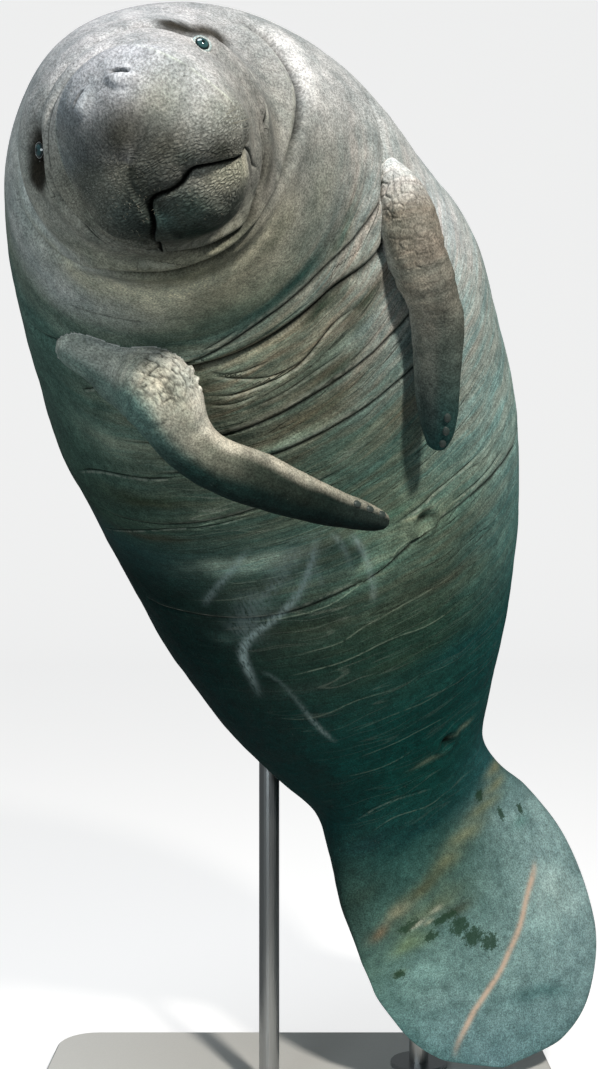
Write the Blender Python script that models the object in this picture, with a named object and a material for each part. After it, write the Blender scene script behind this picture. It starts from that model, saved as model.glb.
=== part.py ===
# A life-size manatee, upright and curled forward, held by two rods on a flat base.
# Metres, +Z up, the face towards -Y. The origin is the middle of the base's underside.
# Run with: blender --background --python part.py

import math

import bmesh
import bpy
import numpy as np
from mathutils import Matrix, Vector
from mathutils.bvhtree import BVHTree

BODY_LENGTH = 2.70          # along the spine, muzzle to tail edge
GAP = 0.0003                # left between pieces that touch

# The spine: share of the body's length, then x, y, z
SPINE = (
    (0.000, -0.201, -1.062, 1.643),
    (0.035, -0.193, -0.963, 1.688),
    (0.090, -0.210, -0.812, 1.728),
    (0.200, -0.176, -0.500, 1.736),
    (0.320, -0.086, -0.200, 1.596),
    (0.450, 0.011, 0.020, 1.391),
    (0.600, 0.112, 0.240, 1.019),
    (0.740, 0.226, 0.350, 0.673),
    (0.800, 0.287, 0.356, 0.545),
    (0.860, 0.363, 0.345, 0.419),
    (1.000, 0.428, 0.300, 0.080),
)
HEAD_ROLL = 46.5            # degrees, the animal's left side turned up at the muzzle
TWIST = ((0.00, -19.3), (0.06, -16.0), (0.20, -11.3), (0.45, 5.3), (0.75, 9.1), (1.00, 6.7))

# Cross-sections: share of length, half width, spine to belly, spine to back
SECTIONS = (
    (0.000, 0.003, 0.003, 0.003),
    (0.002, 0.046, 0.044, 0.044),
    (0.005, 0.074, 0.070, 0.072),
    (0.010, 0.099, 0.092, 0.098),
    (0.016, 0.116, 0.108, 0.117),
    (0.022, 0.122, 0.114, 0.122),
    (0.028, 0.119, 0.114, 0.118),
    (0.036, 0.120, 0.118, 0.114),
    (0.050, 0.132, 0.131, 0.122),
    (0.075, 0.148, 0.151, 0.140),
    (0.095, 0.172, 0.170, 0.165),
    (0.120, 0.182, 0.193, 0.197),
    (0.165, 0.263, 0.238, 0.249),
    (0.210, 0.319, 0.276, 0.288),
    (0.280, 0.378, 0.328, 0.333),
    (0.360, 0.427, 0.358, 0.358),
    (0.450, 0.429, 0.360, 0.360),
    (0.540, 0.403, 0.334, 0.340),
    (0.620, 0.341, 0.270, 0.290),
    (0.680, 0.271, 0.199, 0.224),
    (0.735, 0.209, 0.138, 0.158),
    (0.765, 0.226, 0.108, 0.127),
    (0.810, 0.265, 0.070, 0.081),
    (0.860, 0.286, 0.039, 0.045),
    (0.905, 0.281, 0.026, 0.029),
    (0.950, 0.239, 0.017, 0.019),
    (0.985, 0.148, 0.011, 0.011),
    (1.000, 0.006, 0.005, 0.005),
)

# The muzzle is narrower on its right side: middle angle, spread, share taken off, and the shares of
# the length over which this fades out
MUZZLE_SIDE = (185.0, 60.0, 0.25, 0.028, 0.075)

# Where the body is parted, as shares of its length, head first
NODES = ("head", "neck", "chest", "belly", "loin", "tail_stock", "tail_paddle")
PARTINGS = (0.150, 0.222, 0.375, 0.545, 0.680, 0.785)

# Skin folds: depth, width, then angle round the body (0 left side, 90 belly) and share of length
FOLDS = {
    "behind_lip": (0.009, 0.011, (
        (124, 0.044), (150, 0.036), (180, 0.031), (240, 0.030), (300, 0.031), (345, 0.034),
        (378, 0.044),
    )),
    "behind_crescent": (0.004, 0.009, (
        (140, 0.066), (180, 0.060), (240, 0.058), (300, 0.058), (345, 0.060), (370, 0.068),
    )),
    "forehead": (0.007, 0.015, (
        (195, 0.070), (228, 0.072), (250, 0.073), (276, 0.078), (300, 0.085), (318, 0.083),
    )),
    "cheek_left": (0.009, 0.012, (
        (-22, 0.096), (-3, 0.091), (9, 0.090), (23, 0.089), (40, 0.088),
    )),
    "under_lip": (0.012, 0.012, (
        (33, 0.081), (45, 0.083), (57, 0.088), (67, 0.092), (80, 0.085), (90, 0.078), (103, 0.066),
        (117, 0.058), (130, 0.055), (158, 0.060), (182, 0.062),
    )),
    "chin": (0.016, 0.014, (
        (-13, 0.151), (6, 0.148), (17, 0.142), (30, 0.131), (45, 0.118), (61, 0.107), (76, 0.101),
        (101, 0.095), (124, 0.093), (138, 0.097), (153, 0.112), (168, 0.131), (190, 0.139),
    )),
    "collar": (0.011, 0.022, (
        (14, 0.213), (35, 0.213), (54, 0.231), (73, 0.214), (117, 0.208), (146, 0.196),
        (177, 0.218),
    )),
    "chest_crease": (0.004, 0.010, (
        (60, 0.286), (76, 0.282), (95, 0.278), (117, 0.279), (135, 0.278),
    )),
    "breast_crease": (0.004, 0.010, (
        (70, 0.322), (86, 0.316), (96, 0.313), (108, 0.311), (130, 0.306),
    )),
    "armpit_crease": (0.004, 0.010, (
        (40, 0.212), (51, 0.207), (73, 0.192), (90, 0.190), (114, 0.199), (126, 0.206),
    )),
    "navel_crease": (0.004, 0.012, (
        (50, 0.483), (76, 0.476), (90, 0.475), (110, 0.493), (138, 0.502), (165, 0.498),
    )),
    "flank_crease": (0.003, 0.012, (
        (115, 0.357), (136, 0.361), (150, 0.361), (172, 0.366),
    )),
}

# The face, in the plane square to the muzzle: across to the animal's left, then down
MOUTH = (
    (-0.0580, 0.1220), (-0.0462, 0.1065), (-0.0289, 0.0887), (-0.0152, 0.0703), (-0.0090, 0.0570),
    (-0.0019, 0.0500), (0.0185, 0.0495), (0.0387, 0.0470), (0.0480, 0.0420), (0.0574, 0.0385),
    (0.0679, 0.0405), (0.0784, 0.0445), (0.0887, 0.0485), (0.0979, 0.0525), (0.1250, 0.0600),
)
LOWER_LIP_BACK = (0.010, 0.40, 0.042)           # behind the upper lip: at the mouth, per metre down, at most
LOWER_LIP_PAD = (0.036, 0.092, 0.046, 0.012)    # across, down, radius, height
MOUTH_GROOVE = (0.012, 0.0045)                  # depth, half width
LIP_ROLL = (0.022, 0.009)                       # height over the mouth where the lip curls back, depth
LIP_LOBES = ((-0.066, 0.062, 0.032, 0.010), (0.092, 0.018, 0.036, 0.012), (0.0, -0.02, 0.07, 0.006))
JAW_FILL = (0.010, 0.038, 0.020)                # height, share of length, half width in shares
NOSTRILS = ((0.0285, -0.0890), (-0.0260, -0.0820))
NOSTRIL_RIM = (0.0175, 0.0105, 0.0080)          # half length, half height, how far it stands out
NOSTRIL_SLIT = (0.0112, 0.0032, 0.0120)         # half length, half height, depth
NOSTRIL_TILT = (22.0, -36.0)                    # degrees, left then right
EYE_RADIUS = 0.013
LID_RING = (0.0108, 0.0036)                     # radius of the ring, half its thickness
LID_BED = 0.0050                                # the ring lies this far in front of the ball's centre
# Share of length, angle, turn to the front, depth of the ball's centre, then the mound behind the eye
# and the hollow at it: height or depth, radius, how far behind or before the eye
EYES = {
    "left": (0.0785, -29.5, 0.90, 0.0050, (0.010, 0.020, 0.018), (0.0054, 0.022, 0.020)),
    "right": (0.0765, -151.5, 0.30, 0.0175, (0.001, 0.022, 0.022), (0.0180, 0.032, 0.002)),
}
NAVEL = (0.466, 92.0, 0.018, 0.009)             # share, angle, radius, depth
VENT = (0.697, 87.0, 0.026, 0.009)

# Flippers: x, y, z of the middle line, half width, half thickness
FLIPPER_RIGHT = (
    (-0.372, -0.400, 1.500, 0.024, 0.022),
    (-0.312, -0.540, 1.470, 0.036, 0.034),
    (-0.269, -0.535, 1.448, 0.052, 0.044),
    (-0.216, -0.560, 1.417, 0.063, 0.050),
    (-0.184, -0.547, 1.361, 0.050, 0.042),
    (-0.139, -0.525, 1.316, 0.043, 0.034),
    (-0.074, -0.500, 1.289, 0.044, 0.028),
    (0.003, -0.455, 1.260, 0.037, 0.022),
    (0.080, -0.392, 1.237, 0.028, 0.017),
    (0.126, -0.354, 1.225, 0.020, 0.013),
    (0.150, -0.332, 1.219, 0.010, 0.008),
)
FLIPPER_LEFT = (
    (0.112, -0.400, 1.800, 0.016, 0.016),
    (0.137, -0.490, 1.775, 0.020, 0.020),
    (0.150, -0.515, 1.752, 0.028, 0.028),
    (0.158, -0.526, 1.728, 0.038, 0.034),
    (0.165, -0.528, 1.700, 0.044, 0.039),
    (0.176, -0.521, 1.660, 0.047, 0.040),
    (0.190, -0.505, 1.620, 0.047, 0.037),
    (0.212, -0.476, 1.575, 0.043, 0.032),
    (0.222, -0.449, 1.528, 0.044, 0.028),
    (0.223, -0.431, 1.482, 0.041, 0.024),
    (0.226, -0.400, 1.415, 0.036, 0.020),
    (0.229, -0.370, 1.368, 0.027, 0.015),
    (0.227, -0.350, 1.342, 0.013, 0.009),
)
FLIPPER_FACING = {"right": (-0.10, -1.0, -0.10), "left": (-0.45, -1.0, 0.10)}
NAIL_SIZE = (0.0090, 0.0060, 0.0034)        # half length, half width, half height
NAIL_SHARES = (0.90, 0.935, 0.968)          # along the flipper
NAIL_LEAN = 48.0                            # degrees from the blade's edge to its front

# The stand
BASE_SIZE = (1.10, 1.30, 0.040)
BASE_CORNER = 0.08
BASE_EDGE = 0.005
ROD_RADIUS = 0.021
FLANGE = (0.062, 0.010)                     # radius, height
FLANGE_EDGE = 0.002
RODS = {"stand_rod_flank": (-0.062, 0.270), "stand_rod_stock": (0.262, 0.430)}
ROD_SUNK = 0.030                            # how far a rod stands inside its socket

# Mesh density
RINGS = 420
SPOKES = 200
BODY_TRIANGLES = 8200
FACE_SHARE = 0.030                          # the share of the length kept finest
FACE_WEIGHT = 0.5                           # the face's weight in the thinning, against 1 elsewhere
FACE_CARE = 0.01                            # how strongly that weight counts


def clear_scene():
    for obj in list(bpy.data.objects):
        bpy.data.objects.remove(obj, do_unlink=True)


def smooth_through(knots, values, at):
    """Natural cubic spline through the knots; values may have several columns."""
    knots = np.asarray(knots, float)
    values = np.asarray(values, float)
    count = len(knots)
    step = np.diff(knots)
    matrix = np.zeros((count, count))
    matrix[0, 0] = matrix[-1, -1] = 1.0
    right = np.zeros(values.shape)
    for i in range(1, count - 1):
        matrix[i, i - 1:i + 2] = step[i - 1], 2 * (step[i - 1] + step[i]), step[i]
        right[i] = 6 * ((values[i + 1] - values[i]) / step[i] - (values[i] - values[i - 1]) / step[i - 1])
    bend = np.linalg.solve(matrix, right)
    j = np.clip(np.searchsorted(knots, at, side="right") - 1, 0, count - 2)
    span, before, after = step[j], knots[j + 1] - at, at - knots[j]
    if values.ndim > 1:
        span, before, after = span[:, None], before[:, None], after[:, None]
    curve = bend[j] * before ** 3 / (6 * span) + bend[j + 1] * after ** 3 / (6 * span)
    curve = curve + (values[j] / span - bend[j] * span / 6) * before
    return curve + (values[j + 1] / span - bend[j + 1] * span / 6) * after


def steady_through(knots, values, at):
    """Cubic through the knots that never overshoots them."""
    knots = np.asarray(knots, float)
    values = np.asarray(values, float)
    step = np.diff(knots)
    rise = np.diff(values) / step
    slope = np.concatenate(([rise[0]], np.zeros(len(knots) - 2), [rise[-1]]))
    for i in range(1, len(knots) - 1):
        if rise[i - 1] * rise[i] > 0:
            w1, w2 = 2 * step[i] + step[i - 1], step[i] + 2 * step[i - 1]
            slope[i] = (w1 + w2) / (w1 / rise[i - 1] + w2 / rise[i])
    j = np.clip(np.searchsorted(knots, at, side="right") - 1, 0, len(knots) - 2)
    t = np.clip((at - knots[j]) / step[j], 0.0, 1.0)
    lead = values[j] * (1 + 2 * t) * (1 - t) ** 2 + slope[j] * step[j] * t * (1 - t) ** 2
    return lead + values[j + 1] * t * t * (3 - 2 * t) + slope[j + 1] * step[j] * t * t * (t - 1)


def unit(vectors):
    return vectors / np.linalg.norm(vectors, axis=-1, keepdims=True)


def spine_frames(share):
    """Centre, direction to the tail, left and belly-ward directions at each share of the length."""
    fine = np.linspace(0.0, 1.0, 401)
    spine = np.array(SPINE)
    centre = smooth_through(spine[:, 0], spine[:, 1:], fine)
    along = unit(np.gradient(centre, fine, axis=0))
    roll = math.radians(HEAD_ROLL)
    side = np.array([math.cos(roll), 0.0, math.sin(roll)])
    left = np.zeros_like(centre)
    for i, direction in enumerate(along):
        side = side - side.dot(direction) * direction
        side /= np.linalg.norm(side)
        left[i] = side
    belly = np.cross(along, left)
    twist = np.array(TWIST)
    turn = np.radians(steady_through(twist[:, 0], twist[:, 1], fine))[:, None]
    turned_left = np.cos(turn) * left - np.sin(turn) * belly
    turned_belly = np.cos(turn) * belly + np.sin(turn) * left
    frames = []
    for rows in (centre, along, turned_left, turned_belly):
        frames.append(np.stack([np.interp(share, fine, rows[:, k]) for k in range(3)], axis=-1))
    return frames[0], unit(frames[1]), unit(frames[2]), unit(frames[3])


def bump(distance, width):
    return np.exp(-(distance / width) ** 2)


def plain_body(share, angle):
    """The body without folds: a ring of points for each share, angles in radians."""
    centre, along, left, belly = spine_frames(share)
    table = np.array(SECTIONS)
    wide, low, high = (steady_through(table[:, 0], table[:, k], share) for k in (1, 2, 3))
    middle, spread, most, start, stop = MUZZLE_SIDE
    fade = np.clip((stop - share) / (stop - start), 0, 1)
    fade = most * fade * fade * (3 - 2 * fade)
    away = (np.degrees(angle) - middle + 180.0) % 360.0 - 180.0
    close = 1 - fade[:, None] * bump(away, spread)[None, :]
    cos, sin = np.cos(angle)[None, :] * close, np.sin(angle)[None, :] * close
    down = np.where(sin > 0, low[:, None] * sin, high[:, None] * sin)
    sideways = left[:, None] * (wide[:, None] * cos)[..., None]
    return centre[:, None] + sideways + belly[:, None] * down[..., None]


def face_plane(points):
    """Across, down and back of each point, from the muzzle's own frame."""
    centre, along, left, belly = (row[0] for row in spine_frames(np.array([0.0])))
    offset = points - centre
    return offset @ left, offset @ belly, offset @ along


def mouth_distance(across, down):
    """How far a point of the face lies under the line of the mouth; negative above it."""
    line = np.array(MOUTH)
    inside = np.clip(across, line[0, 0], line[-1, 0])
    level = smooth_through(line[:, 0], line[:, 1], inside.ravel()).reshape(across.shape)
    nudge = 0.0005
    ahead = np.clip(inside + nudge, line[0, 0], line[-1, 0]).ravel()
    behind = np.clip(inside - nudge, line[0, 0], line[-1, 0]).ravel()
    rise = smooth_through(line[:, 0], line[:, 1], ahead) - smooth_through(line[:, 0], line[:, 1], behind)
    slope = rise.reshape(across.shape) / (2 * nudge)
    return (down - level) / np.sqrt(1 + slope ** 2)


def fold_relief(share, angle):
    """Grooves that run round the body, each with the swelling ahead of it."""
    height = np.zeros(np.broadcast(share, angle).shape)
    degrees = np.degrees(angle)
    for depth, width, path in FOLDS.values():
        turns, places = np.array(path).T
        around = (degrees - turns[0] + 90.0) % 360.0 - 90.0 + turns[0]
        place = steady_through(turns, places, np.clip(around, turns[0], turns[-1]))
        fade = np.clip((around - turns[0] + 18) / 18, 0, 1) * np.clip((turns[-1] + 18 - around) / 18, 0, 1)
        off = (share - place) * BODY_LENGTH
        height += fade * (-depth * bump(off, width) + 0.45 * depth * bump(off + 1.9 * width, 1.6 * width))
    return height


def face_relief(across, down, back, share, angle):
    """Muzzle pad, lips, mouth and nostrils: raised height and push backwards."""
    near = np.clip((0.17 - back) / 0.03, 0, 1)
    below = mouth_distance(across, down)
    within = np.clip((0.116 - across) / 0.02, 0, 1) * np.clip((across + 0.080) / 0.016, 0, 1)
    lower = within / (1 + np.exp(-below / 0.0020))
    first, slope, most = LOWER_LIP_BACK
    recess = lower * np.clip(first + slope * np.maximum(below, 0), 0, most)
    recess = recess * np.clip((0.17 - back) / 0.12, 0, 1)
    depth, width = MOUTH_GROOVE
    groove = depth * bump(below - 0.001, width) * within
    reach, curl = LIP_ROLL
    roll = curl * np.clip(1 + below / reach, 0, 1) ** 2 * (1 - lower) * within
    x, y, radius, height = LOWER_LIP_PAD
    raised = lower * height * bump(np.hypot(across - x, down - y), radius)
    for x, y, radius, height in LIP_LOBES:
        raised = raised + height * bump(np.hypot(across - x, down - y), radius) * (1 - lower)
    height, place, width = JAW_FILL
    degrees = np.degrees(angle)
    jaw = np.clip((degrees - 30) / 15, 0, 1) * np.clip((128 - degrees) / 12, 0, 1)
    raised = raised + jaw * lower * height * bump(share - place, width)
    long, short, height = NOSTRIL_RIM
    slit_long, slit_short, depth = NOSTRIL_SLIT
    for (x, y), tilt in zip(NOSTRILS, NOSTRIL_TILT):
        tilt = math.radians(tilt)
        along = (across - x) * math.cos(tilt) + (down - y) * math.sin(tilt)
        over = (down - y) * math.cos(tilt) - (across - x) * math.sin(tilt)
        raised = raised + height * np.exp(-((along / long) ** 2 + (over / short) ** 2) ** 2)
        curve = over + 0.0060 - 9.0 * along ** 2
        raised = raised - depth * np.exp(-(along / slit_long) ** 4 - (curve / slit_short) ** 2)
    return raised * near, recess + (groove + roll) * near


def spot_relief(points, place, degrees, radius, depth):
    """A round hollow at one place of the body."""
    centre = plain_body(np.array([place]), np.radians([degrees]))[0, 0]
    return -depth * bump(np.linalg.norm(points - centre, axis=-1), radius)


def eye_relief(points, eye):
    """The skin rises behind the eye and falls at it."""
    place, degrees, turn, _, mound, hollow = eye
    height, radius, shift = mound
    raised = -turn * spot_relief(points, place + shift / BODY_LENGTH, degrees, radius, height)
    depth, radius, shift = hollow
    return raised + spot_relief(points, place - shift / BODY_LENGTH, degrees, radius, depth)


def body_grid():
    """All points of the body, rings from the muzzle to the tail's edge."""
    even = np.linspace(0.0, 1.0, RINGS)
    share = np.where(even < 0.5, 0.15 * (even / 0.5) ** 1.6, 0.15 + (even - 0.5) * 1.7)
    angle = np.linspace(0.0, 2 * math.pi, SPOKES, endpoint=False)
    points = plain_body(share, angle)
    down_body = np.gradient(points, axis=0)
    around = np.roll(points, -1, axis=1) - np.roll(points, 1, axis=1)
    normal = np.cross(around, down_body)
    normal /= np.maximum(np.linalg.norm(normal, axis=-1, keepdims=True), 1e-12)
    centre, along, left, belly = spine_frames(share)
    outward = points - centre[:, None]
    normal *= np.sign(np.sum(normal * (outward - along[:, None] * 0.001), axis=-1, keepdims=True))
    normal[0] = -along[0]
    normal[-1] = along[-1]
    height = fold_relief(share[:, None], angle[None, :])
    across, down, back = face_plane(points)
    raised, pushed = face_relief(across, down, back, share[:, None], angle[None, :])
    height = height + raised
    for eye in EYES.values():
        height = height + eye_relief(points, eye)
    for spot in (NAVEL, VENT):
        height = height + spot_relief(points, *spot)
    points = points + normal * height[..., None] + along[0] * pushed[..., None]
    points[0] = points[0].mean(axis=0)
    points[-1] = points[-1].mean(axis=0)
    return points


def mesh_from_grid(name, points):
    """A closed tube of rings whose first and last ring are single points."""
    rings, spokes = points.shape[:2]
    verts = [tuple(points[0, 0])]
    verts += [tuple(p) for ring in points[1:-1] for p in ring]
    verts.append(tuple(points[-1, 0]))
    last = len(verts) - 1
    faces = []
    for k in range(spokes):
        n = (k + 1) % spokes
        faces.append((0, 1 + n, 1 + k))
        for r in range(rings - 3):
            a, b = 1 + r * spokes, 1 + (r + 1) * spokes
            faces.append((a + k, a + n, b + n, b + k))
        tail = 1 + (rings - 3) * spokes
        faces.append((last, tail + k, tail + n))
    mesh = bpy.data.meshes.new(name)
    mesh.from_pydata(verts, [], faces)
    bm = bmesh.new()
    bm.from_mesh(mesh)
    bmesh.ops.recalc_face_normals(bm, faces=bm.faces)
    bm.to_mesh(mesh)
    bm.free()
    return mesh


def new_object(name, mesh):
    obj = bpy.data.objects.new(name, mesh)
    bpy.context.scene.collection.objects.link(obj)
    return obj


def evaluated(obj):
    """The object's mesh with its modifiers applied, the modifiers then removed."""
    graph = bpy.context.evaluated_depsgraph_get()
    mesh = bpy.data.meshes.new_from_object(obj.evaluated_get(graph))
    obj.modifiers.clear()
    obj.data = mesh
    return obj


def boolean(obj, other, operation):
    cut = obj.modifiers.new(operation.lower(), "BOOLEAN")
    cut.operation = operation
    cut.solver = "EXACT"
    cut.object = other
    evaluated(obj)


def keep_largest(obj):
    """Keeps the closed surface with the most volume."""
    bm = bmesh.new()
    bm.from_mesh(obj.data)
    left = set(bm.faces)
    pieces = []
    while left:
        seed = left.pop()
        piece, front = {seed}, [seed]
        while front:
            face = front.pop()
            for edge in face.edges:
                for near in edge.link_faces:
                    if near in left:
                        left.discard(near)
                        piece.add(near)
                        front.append(near)
        pieces.append(piece)
    pieces.sort(key=lambda faces: sum(f.calc_area() for f in faces), reverse=True)
    for piece in pieces[1:]:
        bmesh.ops.delete(bm, geom=list(piece), context="FACES")
    bmesh.ops.delete(bm, geom=[v for v in bm.verts if not v.link_faces], context="VERTS")
    bm.to_mesh(obj.data)
    bm.free()


def remove(obj):
    bpy.data.objects.remove(obj, do_unlink=True)


def swollen(obj, amount, name):
    """A copy grown outwards by a small amount, used to leave the gap."""
    copy = new_object(name, obj.data.copy())
    copy.hide_render = True
    copy.display_type = "WIRE"
    bm = bmesh.new()
    bm.from_mesh(copy.data)
    bm.normal_update()
    offsets = {v: v.normal * amount * v.calc_shell_factor() for v in bm.verts}
    for vert, offset in offsets.items():
        vert.co += offset
    bm.to_mesh(copy.data)
    bm.free()
    return copy


def finish(name, colour, roughness, metallic=0.0):
    """A material in the part's own colour."""
    material = bpy.data.materials.new(name)
    material.use_nodes = True
    shader = material.node_tree.nodes["Principled BSDF"]
    shader.inputs["Base Color"].default_value = (*colour, 1.0)
    shader.inputs["Roughness"].default_value = roughness
    shader.inputs["Metallic"].default_value = metallic
    return material


def dress(obj, material):
    obj.data.materials.clear()
    obj.data.materials.append(material)
    obj.data.shade_smooth()
    obj.data.set_sharp_from_angle(angle=math.radians(40))


def ring_mesh(name, rings):
    """A closed loft through lists of points, each end filled by one face."""
    bm = bmesh.new()
    rows = [[bm.verts.new(p) for p in ring] for ring in rings]
    count = len(rows[0])
    for low, high in zip(rows, rows[1:]):
        for k in range(count):
            n = (k + 1) % count
            bm.faces.new((low[k], low[n], high[n], high[k]))
    bm.faces.new(rows[0])
    bm.faces.new(rows[-1])
    bmesh.ops.triangulate(bm, faces=bm.faces)
    bmesh.ops.recalc_face_normals(bm, faces=bm.faces)
    mesh = bpy.data.meshes.new(name)
    bm.to_mesh(mesh)
    bm.free()
    return mesh


def make_body():
    """The whole body as one closed mesh, thinned out where it is smooth."""
    body = new_object("body", mesh_from_grid("body", body_grid()))
    centre, along, _, _ = spine_frames(np.array([FACE_SHARE]))
    group = body.vertex_groups.new(name="plain")
    for vert in body.data.vertices:
        behind = (np.array(vert.co) - centre[0]) @ along[0]
        group.add([vert.index], float(np.clip(behind / 0.02, FACE_WEIGHT, 1)), "REPLACE")
    thin = body.modifiers.new("thin_out", "DECIMATE")
    thin.vertex_group = "plain"
    thin.vertex_group_factor = FACE_CARE
    thin.ratio = BODY_TRIANGLES / (2 * len(body.data.polygons))
    thin.use_collapse_triangulate = True
    evaluated(body)
    body.vertex_groups.clear()
    return body


def surface_normal(place, degrees):
    """Point and outward direction of the plain body."""
    nudge = 0.002
    shares = np.array([place - nudge, place, place + nudge])
    spots = plain_body(shares, np.radians([degrees - 0.5, degrees, degrees + 0.5]))
    point = spots[1, 1]
    normal = np.cross(spots[1, 2] - spots[1, 0], spots[2, 1] - spots[0, 1])
    centre = spine_frames(np.array([place]))[0][0]
    normal = normal / np.linalg.norm(normal)
    return point, normal * math.copysign(1.0, normal @ (point - centre))


def ball(name, centre, radius, segments=16, rings=10):
    bm = bmesh.new()
    bmesh.ops.create_uvsphere(bm, u_segments=segments, v_segments=rings, radius=radius)
    bmesh.ops.translate(bm, verts=bm.verts, vec=centre)
    bmesh.ops.triangulate(bm, faces=bm.faces)
    mesh = bpy.data.meshes.new(name)
    bm.to_mesh(mesh)
    bm.free()
    return new_object(name, mesh)


def lid_ring(name, centre, normal):
    """The thickened rim of the lids, a ring that lies on the skin round the eye."""
    radius, half = LID_RING
    facing = Vector(normal).to_track_quat("Z", "Y").to_matrix()
    rings = []
    for k in range(18):
        turn = 2 * math.pi * k / 18
        out = Vector((math.cos(turn), math.sin(turn), 0.0))
        ring = []
        for j in range(8):
            roll = 2 * math.pi * j / 8
            local = out * (radius + half * math.cos(roll)) + Vector((0, 0, half * math.sin(roll)))
            ring.append(Vector(centre) + facing @ local)
        rings.append(ring)
    bm = bmesh.new()
    rows = [[bm.verts.new(p) for p in ring] for ring in rings]
    for low, high in zip(rows, rows[1:] + rows[:1]):
        for j in range(8):
            n = (j + 1) % 8
            bm.faces.new((low[j], high[j], high[n], low[n]))
    bmesh.ops.triangulate(bm, faces=bm.faces)
    bmesh.ops.recalc_face_normals(bm, faces=bm.faces)
    mesh = bpy.data.meshes.new(name)
    bm.to_mesh(mesh)
    bm.free()
    return new_object(name, mesh)


def make_eyes(body):
    """Opens the sockets in the body, adds the lids and returns the two balls."""
    eyes = {}
    for side, (place, degrees, turn, sunk, _, _) in EYES.items():
        point, normal = surface_normal(place, degrees)
        back = spine_frames(np.array([place]))[1][0]
        facing = unit(normal - back * turn)
        bed = point - facing * max(sunk - LID_BED, 0.0)
        ring = lid_ring("lid_" + side, bed, facing)
        boolean(body, ring, "UNION")
        remove(ring)
        centre = point - facing * sunk
        socket = ball("socket_" + side, centre, EYE_RADIUS + GAP)
        boolean(body, socket, "DIFFERENCE")
        remove(socket)
        eyes[side] = ball("eye_" + side, centre, EYE_RADIUS)
    keep_largest(body)
    return eyes


def part_body(body):
    """Cuts the whole body into its nodes by planes square to the spine."""
    centre, along, _, _ = spine_frames(np.array(PARTINGS))
    pieces = {}
    for i, name in enumerate(NODES):
        bm = bmesh.new()
        bm.from_mesh(body.data)
        for k, keep_after in ((i - 1, True), (i, False)):
            if not 0 <= k < len(PARTINGS):
                continue
            shift = GAP / 2 if keep_after else -GAP / 2
            point = Vector(centre[k] + along[k] * shift)
            geometry = bm.verts[:] + bm.edges[:] + bm.faces[:]
            bmesh.ops.bisect_plane(bm, geom=geometry, plane_co=point, plane_no=Vector(along[k]),
                                   clear_inner=keep_after, clear_outer=not keep_after)
            rim = [e for e in bm.edges if e.is_boundary]
            bmesh.ops.holes_fill(bm, edges=rim, sides=0)
        bmesh.ops.triangulate(bm, faces=[f for f in bm.faces if len(f.verts) > 3])
        bmesh.ops.recalc_face_normals(bm, faces=bm.faces)
        mesh = bpy.data.meshes.new(name)
        bm.to_mesh(mesh)
        bm.free()
        pieces[name] = new_object(name, mesh)
    return pieces


def flipper_path(rows, count):
    """Centre, half width and half thickness, evenly along the flipper."""
    rows = np.array(rows)
    lengths = np.concatenate(([0.0], np.cumsum(np.linalg.norm(np.diff(rows[:, :3], axis=0), axis=1))))
    share = lengths / lengths[-1]
    at = np.linspace(0.0, 1.0, count)
    centre = smooth_through(share, rows[:, :3], at)
    wide = steady_through(share, rows[:, 3], at)
    thick = steady_through(share, rows[:, 4], at)
    return centre, wide, thick


def make_flipper(side, rows, body, body_cutter):
    """A flat tapering limb, cut clear of the body at its root."""
    centre, wide, thick = flipper_path(rows, 26)
    along = unit(np.gradient(centre, axis=0))
    facing = unit(np.array(FLIPPER_FACING[side]))
    across = unit(np.cross(along, facing))
    front = np.cross(across, along)
    rings = []
    for c, a, f, w, t in zip(centre, across, front, wide, thick):
        ring = []
        for k in range(18):
            turn = 2 * math.pi * k / 18
            ring.append(c + a * w * math.cos(turn) + f * t * math.sin(turn))
        rings.append(ring)
    tip = centre[-1] + along[-1] * 0.006
    rings.append([tip + (p - centre[-1]) * 0.45 for p in rings[-1]])
    flipper = new_object("flipper_" + side, ring_mesh("flipper_" + side, rings))
    whole = new_object("whole_" + side, flipper.data.copy())
    boolean(flipper, body_cutter, "DIFFERENCE")
    boolean(flipper, body, "DIFFERENCE")
    keep_largest(flipper)
    triangulate(flipper)
    return flipper, whole, (centre, across, front, wide, thick)


def triangulate(obj):
    bm = bmesh.new()
    bm.from_mesh(obj.data)
    bmesh.ops.triangulate(bm, faces=bm.faces)
    bmesh.ops.recalc_face_normals(bm, faces=bm.faces)
    bm.to_mesh(obj.data)
    bm.free()


def make_nails(side, whole, path):
    """Small flat nails on the outer face near the tip."""
    centre, across, front, wide, thick = path
    cutter = swollen(whole, GAP, "flipper_cutter_" + side)
    nails = []
    lean = math.radians(NAIL_LEAN)
    for k, share in enumerate(NAIL_SHARES):
        i = int(round(share * (len(centre) - 1)))
        spot = centre[i] - across[i] * wide[i] * math.cos(lean) + front[i] * thick[i] * math.sin(lean)
        nail = ball(f"nail_{side}_{k + 1}", Vector((0, 0, 0)), 1.0, 10, 6)
        out = unit(front[i] * math.sin(lean) / thick[i] - across[i] * math.cos(lean) / wide[i])
        along = unit(np.cross(out, np.cross(centre[i] - centre[i - 1], out)))
        side_way = np.cross(out, along)
        basis = Matrix((along * NAIL_SIZE[0], side_way * NAIL_SIZE[1], out * NAIL_SIZE[2])).transposed()
        nail.data.transform(Matrix.Translation(Vector(spot)) @ basis.to_4x4())
        boolean(nail, cutter, "DIFFERENCE")
        keep_largest(nail)
        triangulate(nail)
        nails.append(nail)
    remove(cutter)
    return nails


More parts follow.
